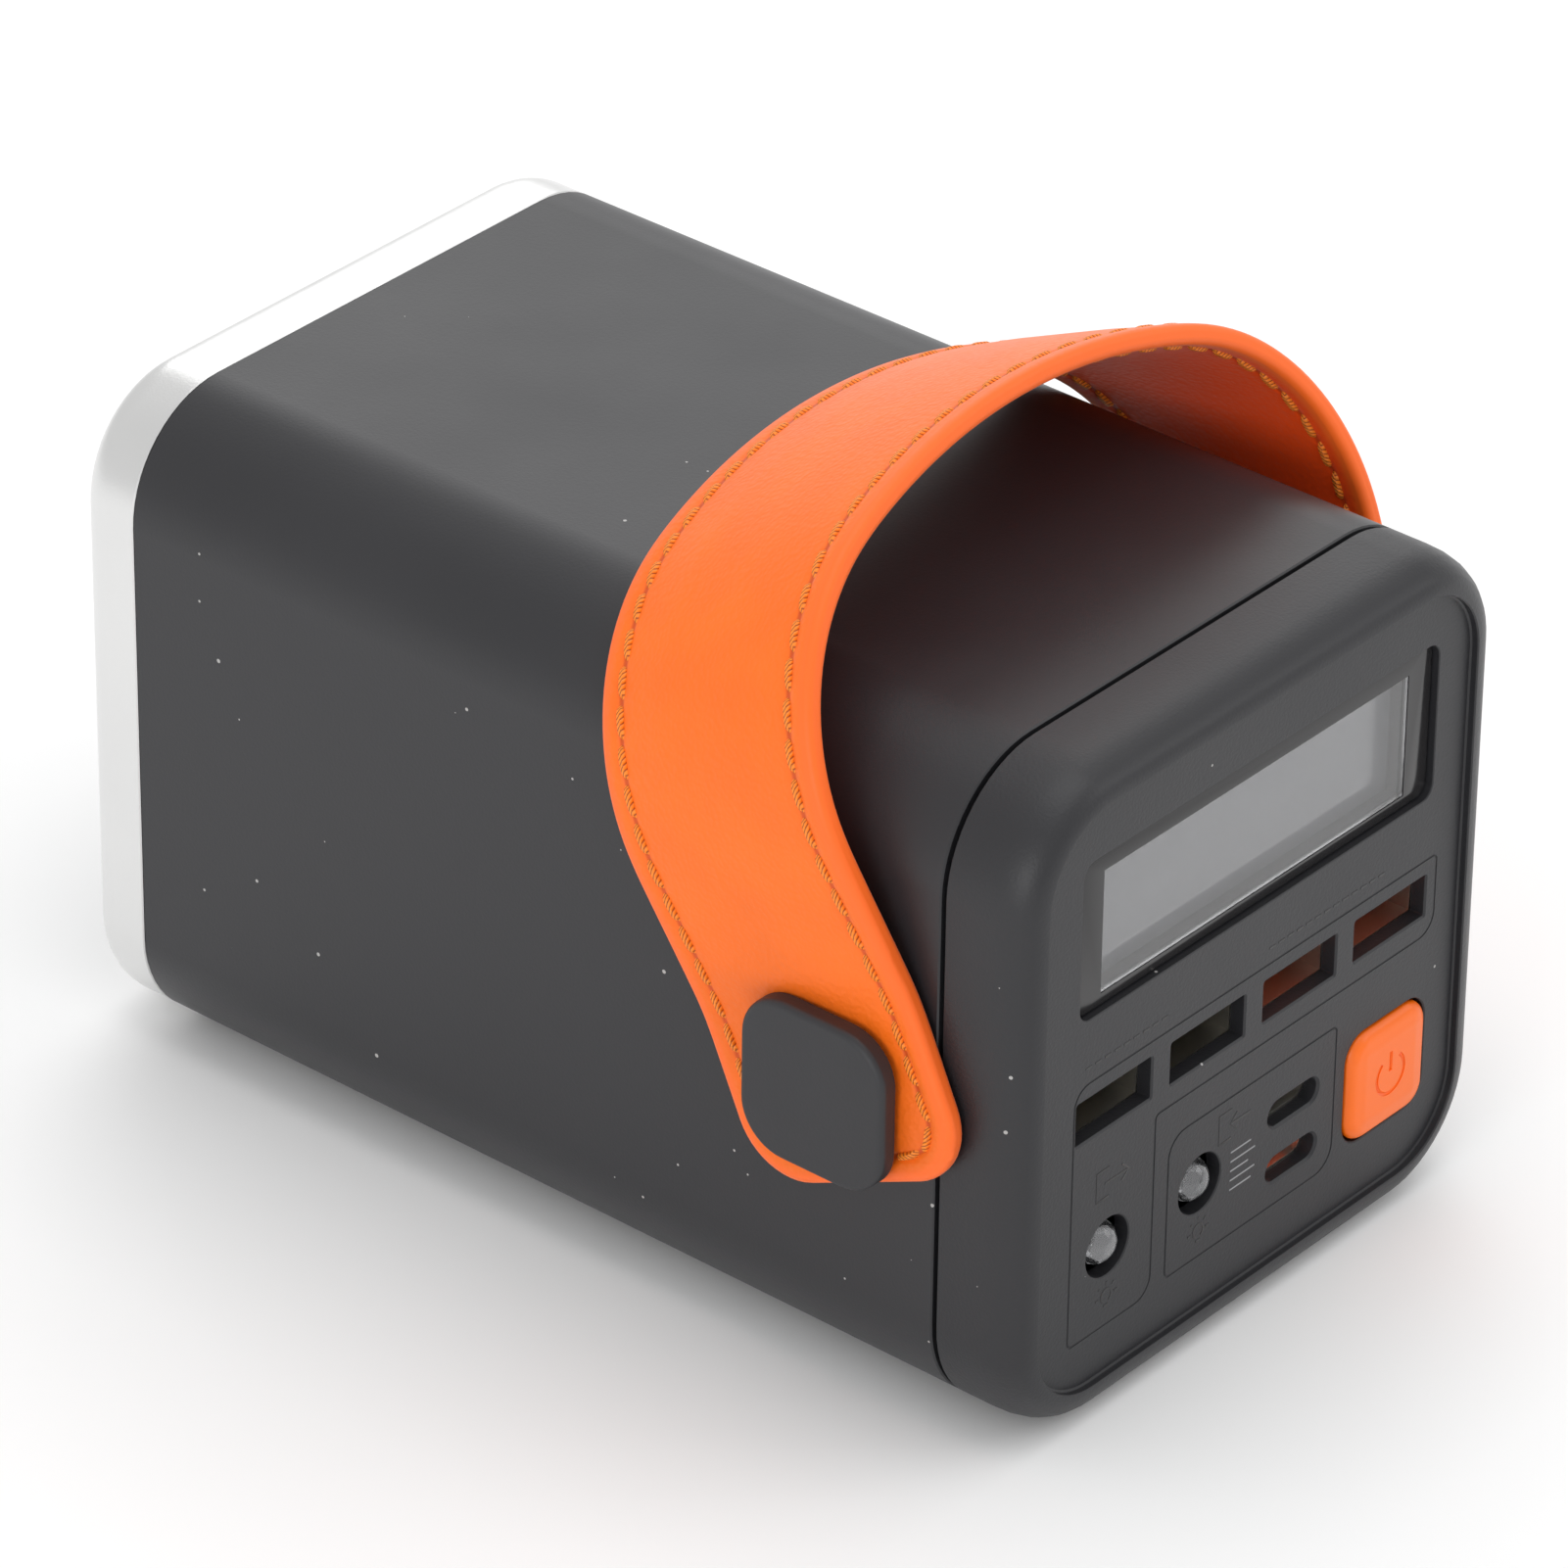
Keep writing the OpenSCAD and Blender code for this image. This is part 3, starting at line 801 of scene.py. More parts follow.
@dataclass(frozen=True)
class Thread:
    """Waxed two-ply sewing thread, with the plies as fine slanting ridges and painted shade in the troughs
    between them.
    """

    name: str = "strap_thread"
    color: Color = (1.0, 0.27, 0.015)
    # the colour of the painted shade between the plies
    dark: Color = (0.42, 0.07, 0.004)

    def make(self) -> bpy.types.Material:
        """Builds the material, which reads the thread's ply attribute."""
        material, board, shader = start_material(self.name)
        ply = board.add("ShaderNodeAttribute", attribute_name="ply").outputs["Fac"]
        ridge = board.math("ABSOLUTE", board.math("SINE", board.math("MULTIPLY", ply, math.pi)))
        # painted shade: the thread is darker in the troughs between the plies
        color = board.mix(board.ramp(ridge, 0.1, 0.7), self.dark, self.color)
        normal = board.bump(0.6, 0.0002, ridge)
        board.feed(shader, {"Base Color": color, "Normal": normal, "Roughness": 0.5})
        return material


@dataclass(frozen=True)
class Laminate:
    """Solder-masked circuit board with fine tracks under the mask."""

    name: str = "circuit_board"
    mask: Color = (0.008, 0.07, 0.03)
    track: Color = (0.03, 0.20, 0.075)

    def make(self) -> bpy.types.Material:
        """Builds the material and returns it."""
        material, board, shader = start_material(self.name)
        cells = board.add(
            "ShaderNodeTexVoronoi", {"Vector": board.place_in(), "Scale": 260.0}, feature="DISTANCE_TO_EDGE"
        )
        tracks = board.ramp(cells.outputs["Distance"], 0.05, 0.09, 1.0, 0.0)
        color = board.mix(tracks, self.mask, self.track)
        normal = board.bump(0.3, 0.0001, tracks)
        board.feed(shader, {"Base Color": color, "Normal": normal, "Roughness": 0.3})
        return material


class Finishes:
    """Every finish of the station, made once and handed out by name."""

    GREY: Color = (0.022, 0.022, 0.025)
    # lighter grey on the edges of the grey plastics: partly wear, partly painted edge highlight
    EDGE_WEAR_SHEEN_GREY: Color = (0.06, 0.06, 0.064)
    CATALOGUE = (
        Finish(
            "shell_grey", GREY, 0.40, grain_height=0.10, dust=0.3, edge_wear_sheen_amount=0.2, edge_wear_sheen_color=EDGE_WEAR_SHEEN_GREY, specular=0.45
        ),
        Finish(
            "panel_grey", GREY, 0.42, grain_height=0.22, dust=0.45, edge_wear_sheen_amount=0.3, edge_wear_sheen_color=EDGE_WEAR_SHEEN_GREY, specular=0.42
        ),
        Finish("cap_grey", GREY, 0.5, grain_height=0.12, dust=0.25, edge_wear_sheen_amount=0.2, edge_wear_sheen_color=EDGE_WEAR_SHEEN_GREY),
        Finish(
            "satin_silver", (0.76, 0.76, 0.755), 0.30, 1.0, grain_scale=3200, grain_height=0.1, mottle=0.03
        ),
        Finish("button_orange", (1.0, 0.16, 0.0), 0.34, grain_height=0.05, mottle=0.04, dust=0.05),
        Finish(
            "window_print", (0.020, 0.019, 0.020), 0.16, grain_height=0.01, mottle=0.02, dust=0.1
        ),
        # near-black painted shade for the faces of the engraved grooves
        Finish("ink_dark", (0.004, 0.004, 0.004), 0.6, grain_height=0.1),
        Finish("ink_mark", (0.006, 0.006, 0.007), 0.2, grain_height=0.1),
        Finish("ink_pale", (0.30, 0.30, 0.31), 0.5, grain_height=0.1),
        Finish("lcd_glass", (0.17, 0.17, 0.185), 0.25, grain_height=0.0001, mottle=0.05, coat=0.5),
        Finish("holder_grey", (0.12, 0.12, 0.125), 0.5, grain_height=0.2),
        Finish("diffuser_white", (0.75, 0.76, 0.76), 0.4, grain_height=0.1),
        Finish("black_plastic", (0.012, 0.012, 0.013), 0.4, grain_height=0.2),
        Finish("orange_plastic", (0.95, 0.12, 0.015), 0.4, grain_height=0.15),
        Finish(
            "socket_steel", (0.82, 0.79, 0.72), 0.34, 1.0, grain_scale=1800, mottle=0.15, edge_wear_sheen_amount=0.2
        ),
        Finish("eyelet_nickel", (0.62, 0.61, 0.59), 0.22, 1.0, mottle=0.08),
        Finish("screw_steel", (0.45, 0.45, 0.45), 0.3, 1.0, mottle=0.12, edge_wear_sheen_amount=0.3),
        Finish("pillar_brass", (0.78, 0.56, 0.24), 0.28, 1.0, mottle=0.12),
        Finish("ferrite_grey", (0.05, 0.05, 0.052), 0.6, grain_scale=1500, grain_height=0.4),
        Finish("can_aluminium", (0.70, 0.70, 0.71), 0.25, 1.0, mottle=0.08),
        Finish(
            "lamp_foil", (0.36, 0.36, 0.37), 0.2, 1.0, grain_scale=700, grain_height=0.9, mottle=0.7
        ),
        Finish(
            "cell_wrap", (0.02, 0.16, 0.23), 0.32, grain_scale=900, grain_height=0.12, mottle=0.15, coat=0.3
        ),
        Finish("nickel_strip", (0.66, 0.64, 0.58), 0.3, 1.0, grain_scale=1400, mottle=0.15),
        Finish("fish_paper", (0.62, 0.58, 0.40), 0.75, grain_scale=1100, grain_height=0.5, mottle=0.2),
        Finish("lead_rubber", (0.30, 0.02, 0.015), 0.45, grain_scale=900, grain_height=0.2),
        Finish("contact_gold", (0.90, 0.66, 0.30), 0.2, 1.0, mottle=0.1),
        Leather(),
        Thread(),
        Laminate(),
        Clear("clear_epoxy", roughness=0.02, ior=1.52, clearness=0.985),
        Clear("clear_window", roughness=0.02),
    )

    def __init__(self) -> None:
        """Makes every material."""
        self.materials = {finish.name: finish.make() for finish in self.CATALOGUE}

    def __getitem__(self, name: str) -> bpy.types.Material:
        """Hands out a material by its name."""
        return self.materials[name]


# ---------------------------------------------------------------- the box


@dataclass(frozen=True)
class BoxPlan:
    """Where the box's main faces lie, in millimetres."""

    half: float
    mid_z: float
    front: float
    sleeve_front: float
    sleeve_back: float
    back: float
    corner: float = 14.5
    wall: float = 2.2
    rim_proud: float = 1.0
    rim_width: float = 4.25
    window_drop: float = 0.9
    seam_gap: float = 0.6
    skirt_gap: float = 1.65

    @classmethod
    def from_frame(cls) -> "BoxPlan":
        """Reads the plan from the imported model."""
        low, high = node_box("body_sleeve")
        front = node_box("display_window")[0].y - cls.window_drop - cls.rim_proud
        back = node_box("end_cap")[1].y
        return cls((high.x - low.x) / 2, (high.z + low.z) / 2, front, low.y, high.y, back)

    @property
    def panel(self) -> float:
        """The Y of the panel's face."""
        return self.front + self.rim_proud

    @property
    def inner(self) -> float:
        """The width of the hollow inside the sleeve."""
        return 2 * (self.half - self.wall)

    @property
    def inner_radius(self) -> float:
        """The corner radius of the hollow inside the sleeve."""
        return self.corner - self.wall

    @property
    def skirt(self) -> tuple[float, float]:
        """The width and corner radius of the hollow inside the ends' skirts."""
        return self.inner - 2 * self.skirt_gap, self.inner_radius - self.skirt_gap

    @property
    def outline(self) -> Point2:
        """The box's width and height."""
        return (2 * self.half,) * 2

    @property
    def centre(self) -> Point2:
        """The box's axis, as X and Z."""
        return (0.0, self.mid_z)


@dataclass
class FrontShell:
    """The front cover: a soft-edged shell with a recessed panel that holds every port and light."""

    plan: BoxPlan
    finishes: Finishes
    edge_profile: Sequence[Point2] = (
        (0, 7.0), (0.12, 4.6), (0.5, 2.9), (1.15, 1.55), (1.9, 0.7), (2.7, 0.28), (3.4, 0.08)
    )
    panel_thickness: float = 2.0
    clear_size: Point2 = (53.8, 15.6)
    clear_shift: Point2 = (0.1, -0.6)
    port_size: Point2 = (13.1, 5.4)
    small_port_size: Point2 = (9.0, 3.3)
    lamp_hole: float = 7.5
    button_gap: float = 0.7
    window_gap: float = 0.22
    groove: float = 0.17
    output_outline: Sequence[tuple[float, float, float]] = (
        (-31.4, 2.35, 2.6), (33.3, 2.35, 0.8), (33.3, -7.8, 2.6),
        (-16.9, -7.8, 0.8), (-16.9, -31.4, 2.6), (-31.4, -31.4, 0.8),
    )
    input_outline: Sequence[tuple[float, float, float]] = (
        (-14.3, -12.2, 3.0), (15.9, -12.2, 0.8), (15.9, -30.8, 3.0), (-14.3, -30.8, 0.8)
    )

    def openings(self) -> list[bpy.types.Object]:
        """Makes the cutters for everything that goes through the panel.

        Returns:
            The cutters.
        """
        plan = self.plan
        face, through = plan.panel, self.panel_thickness + 1
        cutters = []
        centre, size = middle_and_size(*node_box("display_window"))
        recess = (size[0] + self.window_gap, size[1] + self.window_gap)
        cutters.append(mouth_cutter(centre, recess, 1.86, face, plan.window_drop + 1.0, 0.12))
        _, size = middle_and_size(*node_box("power_button"))
        button = size[0] - 2 * PowerKey.collar + self.button_gap
        openings = [(f"usb_a_shell_{number}", self.port_size, 0.25, 0.22) for number in range(1, 5)]
        small = self.small_port_size
        openings += [(f"usb_c_shell_{level}", small, 1.6, 0.3) for level in ("upper", "lower")]
        lamp = (self.lamp_hole,) * 2
        openings += [(f"lamp_{side}", lamp, self.lamp_hole / 2, 0.15) for side in ("left", "right")]
        openings += [("power_button", (button, button), 3.35, 0.15)]
        for node, opening, radius, chamfer in openings:
            centre, _ = middle_and_size(*node_box(node))
            cutters.append(mouth_cutter(centre, opening, radius, face, through, chamfer))
        return cutters

    def grooves(self) -> list[bpy.types.Object]:
        """Makes the cutters for the two engraved outlines.

        Returns:
            The cutters, which carry the dark ink of the grooves.
        """
        cutters = []
        for outline in (self.output_outline, self.input_outline):
            points = [(x, self.plan.panel, self.plan.mid_z + z) for x, z in rounded_path(outline)]
            groove = wire("groove", points, self.groove, closed=True)
            # the groove faces take a near-black finish: painted shade in the engraved grooves
            dress(groove, self.finishes["ink_dark"])
            cutters.append(groove)
        return cutters

    def build(self) -> None:
        """Builds the cover."""
        plan = self.plan
        seam = plan.sleeve_front - plan.seam_gap
        side_end = plan.front + self.edge_profile[0][1]
        span = (side_end, seam - 0.2)
        cover = rounded_bar("front_shell", plan.centre, plan.outline, plan.corner, span, CORNER_FACES)
        profile = [*self.edge_profile, (plan.rim_width - 0.15, 0.0), (plan.rim_width, 0.15)]
        steps = [(b[0] - a[0], a[1] - b[1]) for a, b in zip(profile, profile[1:])]
        steps += [(0.02, 0.3 - plan.rim_proud), (0.25, -0.15), (2, 0)]
        raise_face(cover, facing(FRONT), steps)
        skirt = [(0.2, 0.2), (plan.wall, 0), (0, 5.4), (0.3, 0.3)]
        raise_face(cover, facing(BACK), skirt)
        hollow(cover, plan.centre, *plan.skirt, (plan.panel + 4.4, seam + 9))
        behind = (plan.panel + self.panel_thickness, seam)
        hollow(cover, plan.centre, plan.inner - 6, plan.inner_radius - 3, behind)
        dress(cover, self.finishes["panel_grey"])
        cut(cover, self.openings())
        face, size = plan.panel + plan.window_drop, self.clear_size
        low, high = node_box("display_window")
        window, _ = middle_and_size(low, high)
        clear = (window[0] + self.clear_shift[0], window[1] + self.clear_shift[1])
        cut(cover, [rounded_bar("cutter", clear, size, 0, (face - 0.5, face + 4))])
        cut(cover, self.grooves())
        smooth(cover, 30)
        place(cover, BODY, "shell", "front_cover")


def middle_and_size(low: Vector, high: Vector) -> tuple[Point2, Point2]:
    """Works out a box's middle and size, each as X and Z."""
    middle, size = (low + high) / 2, high - low
    return (middle.x, middle.z), (size.x, size.z)


@dataclass
class SleeveShell:
    """The long square tube between the two ends."""

    plan: BoxPlan
    finishes: Finishes
    edge: float = 0.18

    def build(self) -> None:
        """Builds the sleeve."""
        plan = self.plan
        span = (plan.sleeve_front + self.edge, plan.sleeve_back - self.edge)
        tube = rounded_bar("sleeve_shell", plan.centre, plan.outline, plan.corner, span, CORNER_FACES)
        for way in (FRONT, BACK):
            raise_face(tube, facing(way), [(self.edge, self.edge)])
        hollow(tube, plan.centre, plan.inner, plan.inner_radius, (span[0] - 5, span[1] + 5))
        settle(tube, self.finishes["shell_grey"], BODY, "shell", "body_sleeve")


@dataclass
class SilverEnd:
    """The silver end cap with its recessed back plate."""

    plan: BoxPlan
    finishes: Finishes
    fillet: float = 5.0
    seat: float = 71.5
    plate: float = 71.0
    plate_drop: float = 0.8
    edge: float = 0.15

    def build_cap(self) -> None:
        """Builds the cap."""
        plan = self.plan
        front = plan.sleeve_back + 0.08
        span = (front + self.edge, plan.back - self.fillet)
        cap = rounded_bar("end_shell", plan.centre, plan.outline, plan.corner, span, CORNER_FACES)
        rim = plan.half - self.seat / 2 - self.fillet
        steps = [*quarter_round(self.fillet, 10), (rim - 0.2, 0), (0.2, -0.2), (0, -4.2), (5.75, 0)]
        raise_face(cap, facing(BACK), steps)
        raise_face(cap, facing(FRONT), [(self.edge, self.edge), (plan.wall, 0), (0, 4.8), (0.2, 0.2)])
        hollow(cap, plan.centre, *plan.skirt, (front - 9, plan.back - 6.6))
        hollow(cap, plan.centre, 60, 6, (front, plan.back + 1))
        settle(cap, self.finishes["satin_silver"], BODY, "silver", "end_cap")

    def build_plate(self) -> None:
        """Builds the plate, with a shallow field and a lip behind it."""
        face = self.plan.back - self.plate_drop
        size, span = (self.plate,) * 2, (face - 1.8, face - 0.3)
        plate = rounded_bar("back_plate", self.plan.centre, size, 9.25, span, 10)
        front = [*quarter_round(0.3, 3), (3.9, 0), (0.3, -0.15), (0.3, -0.45), (1.5, 0)]
        raise_face(plate, facing(BACK), front)
        raise_face(plate, facing(FRONT), [(5.8, 0), (0, 5), (1.5, 0), (0, -5)])
        settle(plate, self.finishes["panel_grey"], BODY, "shell", "end_plate")

    def build(self) -> None:
        """Builds both pieces."""
        self.build_cap()
        self.build_plate()


@dataclass
class Display:
    """The display's printed window and its clear pane."""

    plan: BoxPlan
    finishes: Finishes
    front: FrontShell
    thickness: float = 0.95

    def build(self) -> None:
        """Builds the printed frame and the pane inside it."""
        low, high = node_box("display_window")
        centre, size = middle_and_size(low, high)
        shift, clear = self.front.clear_shift, self.front.clear_size
        middle = (centre[0] + shift[0], centre[1] + shift[1])
        span = (low.y + 0.15, low.y + self.thickness)
        frame_piece = rounded_bar("window_frame", centre, size, 1.75, span)
        raise_face(frame_piece, facing(FRONT), [(0.08, 0.1), (0.12, 0.05)])
        cut(frame_piece, [rounded_bar("cutter", middle, clear, 0, (low.y - 1, low.y + 2))])
        print_finish = self.finishes["window_print"]
        settle(frame_piece, print_finish, BODY, "window", "display_window", weighted=False)
        pane_size = (clear[0] - 0.02, clear[1] - 0.02)
        pane = rounded_bar("window_pane", middle, pane_size, 0, (low.y + 0.14, low.y + self.thickness))
        raise_face(pane, facing(FRONT), [(0.04, 0.04)])
        settle(pane, self.finishes["clear_window"], BODY, "window", "display_window")


@dataclass
class Lamp:
    """One clear lamp: a domed epoxy body over a bright cup, two legs and a chip."""

    finishes: Finishes
    side: Side
    dome: float = 2.75
    collar: float = 3.1
    length: float = 7.6
    forward: float = 2.2
    cup: float = 1.9
    leg: float = 0.7
    leg_shift: float = 1.1

    def build(self) -> None:
        """Builds the clear body and the metal inside it."""
        word = self.side.name.lower()
        node = f"lamp_{word}"
        low, high = node_box(node)
        centre, _ = middle_and_size(low, high)
        nose = low.y - self.forward
        body = rod(f"lamp_lens_{word}", centre, self.dome, (nose + self.dome, nose + self.length), 40)
        raise_face(body, facing(FRONT), quarter_round(self.dome * 0.97, 9, self.dome))
        collar = rod("collar", centre, self.collar, (nose + self.length - 0.8, nose + self.length), 40)
        raise_face(collar, facing(FRONT), [(0.15, 0.15)])
        body = join(body.name, [body, collar])
        settle(body, self.finishes["clear_epoxy"], BODY, "lamp_clear", node, angle=40)
        cup = rod("cup", centre, self.cup, (nose + 2.6, nose + 3.8), 24)
        raise_face(cup, facing(FRONT), [(0.2, 0), (0.9, -0.8), (0.4, 0)])
        size = (self.leg,) * 2
        legs = [
            rounded_bar("leg", (centre[0] + dx, centre[1]), size, 0.1, (nose + 4.2, nose + 7.4), 2)
            for dx in (-self.leg_shift, self.leg_shift)
        ]
        chip = rounded_bar("chip", centre, size, 0.1, (nose + 2.7, nose + 3.6), 2)
        metal = join(f"lamp_metal_{word}", [cup, *legs, chip])
        settle(metal, self.finishes["lamp_foil"], BODY, "lamp_clear", node)


@dataclass
class PowerKey:
    """The orange power key with its engraved symbol."""

    finishes: Finishes
    size: float = 14.0
    radius: float = 3.0
    collar: float = 1.3
    symbol: float = 2.5
    stroke: float = 0.3

    def symbol_cutters(self, centre: Point2, face: float) -> list[bpy.types.Object]:
        """Makes the cutters for the open circle and its line.

        Args:
            centre: The symbol's X and Z.
            face: The Y of the key's face.

        Returns:
            The cutters.
        """
        turns = [math.radians(a) for a in range(130, 411, 10)]
        x, z = centre
        ring = [(x + self.symbol * math.cos(a), face, z + self.symbol * math.sin(a)) for a in turns]
        line = [(x, face, z + rise) for rise in (0.4, self.symbol + 0.5)]
        return [wire("ring", ring, self.stroke), wire("line", line, self.stroke)]

    def build(self) -> None:
        """Builds the key."""
        low, high = node_box("power_button")
        centre, _ = middle_and_size(low, high)
        face = low.y
        size, span = (self.size,) * 2, (face + 1.5, face + 5.2)
        key = rounded_bar("power_key", centre, size, self.radius, span, 10)
        dome = [*quarter_round(1.45, 8, 1.35), (0.7, 0.1), (0.6, 0.05)]
        raise_face(key, facing(FRONT), dome)
        size, span = (self.size + 2 * self.collar,) * 2, (face + 6.2, face + 7.2)
        collar = rounded_bar("collar", centre, size, self.radius + 1.2, span, 6)
        raise_face(collar, facing(FRONT), [(2.2, 0), (0, 1.3)])
        stem = rod("stem", centre, 1.8, (face + 7.0, face + 11.0), 24)
        cut(key, self.symbol_cutters(centre, face), Solver.EXACT)
        key = join("power_key", [key, collar, stem])
        settle(key, self.finishes["button_orange"], BUTTON_BODY, "button", "power_button", angle=40)


@dataclass
class PanelMarks:
    """The panel's small generic marks: arrows for in and out, lamp signs and rating bars."""

    plan: BoxPlan
    finishes: Finishes
    stroke: float = 0.17
    fine_stroke: float = 0.12
    relief: float = 0.25

    @staticmethod
    def arrow(turned: int) -> list[list[Point2]]:
        """Draws an arrow that leaves its half frame, or with -1 one that enters it."""
        frame_line = [(-0.4, 1.9), (-2.6, 1.9), (-2.6, -1.9), (-0.4, -1.9)]
        tip = 3.0 if turned > 0 else -0.6
        barb = tip - 1.2 * turned
        shaft = [(-1.2, 0), (3.0, 0)]
        head = [(barb, 1.1), (tip, 0), (barb, -1.1)]
        if turned < 0:
            shaft = [(-0.6, 0), (3.0, 0)]
        return [frame_line, shaft, head]

    @staticmethod
    def bulb() -> list[list[Point2]]:
        """Draws a lamp sign."""
        turns = [math.radians(a) for a in range(-60, 241, 20)]
        rays = [[(1.35 * math.cos(a), 1.35 * math.sin(a)), (1.9 * math.cos(a), 1.9 * math.sin(a))]
                for a in (math.radians(d) for d in (0, 45, 90, 135, 180))]
        globe = [(0.9 * math.cos(a), 0.9 * math.sin(a)) for a in turns]
        return [globe, [(-0.4, -1.25), (0.4, -1.25)], *rays]

    @staticmethod
    def bars(lengths: Sequence[float], step: float) -> list[list[Point2]]:
        """Draws a column of bars a step apart, as a rating has."""
        return [[(0, -i * step), (length, -i * step)] for i, length in enumerate(lengths)]

    @staticmethod
    def dashes(count: int, length: float, gap: float) -> list[list[Point2]]:
        """Draws a row of dashes with a gap between them, as a small caption has."""
        return [[(i * (length + gap), 0), (i * (length + gap) + length, 0)] for i in range(count)]

    def build(self) -> None:
        """Builds the marks as two low prints on the panel."""
        dark = [
            ((-24.4, -12.4), self.arrow(1)),
            ((-2.6, -15.8), self.arrow(-1)),
            ((-24.7, -27.6), self.bulb()),
            ((-8.4, -27.4), self.bulb()),
            ((-29.6, 4.4), self.dashes(9, 1.1, 0.55)),
            ((2.6, 4.4), self.dashes(13, 1.1, 0.55)),
        ]
        pale = [((-2.9, -19.8), self.bars((3.6, 4.4, 3.2, 4.4, 3.8), 1.25))]
        self.print("panel_marks", dark, self.stroke, "ink_mark")
        self.print("rating_marks", pale, self.fine_stroke, "ink_pale")

    def print(self, name: str, signs: Sequence[Any], stroke: float, ink: str) -> None:
        """Prints some signs on the panel.

        Args:
            name: The print's name.
            signs: Each sign's place and strokes.
            stroke: Half of the strokes' width.
            ink: The ink's name.
        """
        strokes = []
        for (x, z), lines in signs:
            for line in lines:
                points = [(x + px, 0, self.plan.mid_z + z + pz) for px, pz in line]
                strokes.append(wire("mark", points, stroke))
        marks = join(name, strokes)
        flatten = Matrix.Scale(self.relief, 4, (0, 1, 0))
        marks.data.transform(Matrix.Translation((0, self.plan.panel, 0)) @ flatten)
        settle(marks, self.finishes[ink], BODY, "shell")


@dataclass
class PortContacts:
    """The four sprung contacts on each wide port's tongue."""

    finishes: Finishes
    pitches: Sequence[float] = (-3.5, -1.0, 1.0, 3.5)
    width: float = 0.9
    length: float = 7.0
    thickness: float = 0.12

    def build(self) -> None:
        """Builds the contacts of every wide port."""
        for number in range(1, 5):
            low, high = node_box(f"usb_a_tongue_{number}")
            x, under = (low.x + high.x) / 2, low.z
            strips = []
            for shift in self.pitches:
                start = low.y + 0.8
                strip = block(
                    "strip",
                    (x + shift - self.width / 2, start, under - self.thickness),
                    (x + shift + self.width / 2, start + self.length, under + 0.02),
                )
                round_edges(strip, runs_along(0), 0.06, 2)
                round_edges(strip, runs_along(1), 0.05, 1)
                strips.append(strip)
            contacts = join(f"port_contacts_{number}", strips)
            settle(contacts, self.finishes["contact_gold"], BODY, "brass")


# ---------------------------------------------------------------- the strap


@dataclass
class StrapPath:
    """The strap's middle line: straight legs, round shoulders and a flat crown, leaned back."""

    pivot: Vector
    leg_x: float
    lean: float = math.radians(24.6)
    reach: float = 62.6
    shoulder_x: float = 46.85
    shoulder_radius: float = 28.0
    crown_radius: float = 82.0
    end: float = 12.0
    straight: float = 9.0
    points: list[Vector] = field(default_factory=list)
    lengths: list[float] = field(default_factory=list)

    def __post_init__(self) -> None:
        """Lays the line out as closely spaced points."""
        crown_z = self.reach - self.crown_radius
        shoulder = self.shoulder_x - self.shoulder_radius
        shoulder_z = crown_z + math.sqrt((self.crown_radius - self.shoulder_radius) ** 2 - shoulder**2)
        flare = math.atan2(self.shoulder_x - self.leg_x, shoulder_z - self.straight - 3)
        turn = math.atan2(shoulder_z - crown_z, shoulder)
        half = [Vector((self.leg_x, -self.end + (self.end + self.straight) * i / 14)) for i in range(15)]
        arcs = [
            (shoulder, shoulder_z, self.shoulder_radius, -flare, turn),
            (0, crown_z, self.crown_radius, turn, math.pi / 2),
        ]
        for cx, cz, radius, start, stop in arcs:
            half += [
                Vector((cx + radius * math.cos(a), cz + radius * math.sin(a)))
                for a in (start + (stop - start) * i / 24 for i in range(25))
            ]
        line = half + [Vector((-p.x, p.y)) for p in reversed(half[:-1])]
        line = self.spaced(line, 1.0)
        for _ in range(10):
            eased = [(a + b * 2 + c) / 4 for a, b, c in zip(line, line[1:], line[2:])]
            line = [line[0], *eased, line[-1]]
        self.points = line
        self.lengths = [0.0]
        for a, b in zip(line, line[1:]):
            self.lengths.append(self.lengths[-1] + (b - a).length)

    @staticmethod
    def spaced(line: Sequence[Vector], step: float) -> list[Vector]:
        """Spaces a line's points evenly, about a step apart."""
        runs = [0.0]
        for a, b in zip(line, line[1:]):
            runs.append(runs[-1] + (b - a).length)
        count = round(runs[-1] / step)
        result, k = [], 0
        for i in range(count + 1):
            target = runs[-1] * i / count
            while k < len(runs) - 2 and runs[k + 1] < target:
                k += 1
            share = (target - runs[k]) / max(runs[k + 1] - runs[k], 1e-9)
            result.append(line[k].lerp(line[k + 1], min(share, 1.0)))
        return result

    @property
    def total(self) -> float:
        """The line's length."""
        return self.lengths[-1]

    def wrap(self, flat: Vector) -> Vector:
        """Carries a point of the flat strap onto the bent one.

        Args:
            flat: Its place along the strap from the middle, across it, and outwards from it.

        Returns:
            Its place in the frame.
        """
        s = min(max(flat.x + self.total / 2, 0.0), self.total)
        k = min(int(s / self.total * (len(self.points) - 1)), len(self.points) - 2)
        while k < len(self.points) - 2 and self.lengths[k + 1] < s:
            k += 1
        while k > 0 and self.lengths[k] > s:
            k -= 1
        share = (s - self.lengths[k]) / (self.lengths[k + 1] - self.lengths[k])
        here = self.points[k].lerp(self.points[k + 1], share)
        before = (self.points[k + 1] - self.points[max(k - 1, 0)]).normalized()
        after = (self.points[min(k + 2, len(self.points) - 1)] - self.points[k]).normalized()
        along = before.lerp(after, share).normalized()
        extra = flat.x + self.total / 2 - s
        outward = Vector((along.y, -along.x))
        place_in = here + along * extra + outward * flat.z
        up = Vector((0, math.sin(self.lean), math.cos(self.lean)))
        back = Vector((0, math.cos(self.lean), -math.sin(self.lean)))
        return self.pivot + Vector((place_in.x, 0, 0)) + up * place_in.y + back * flat.y


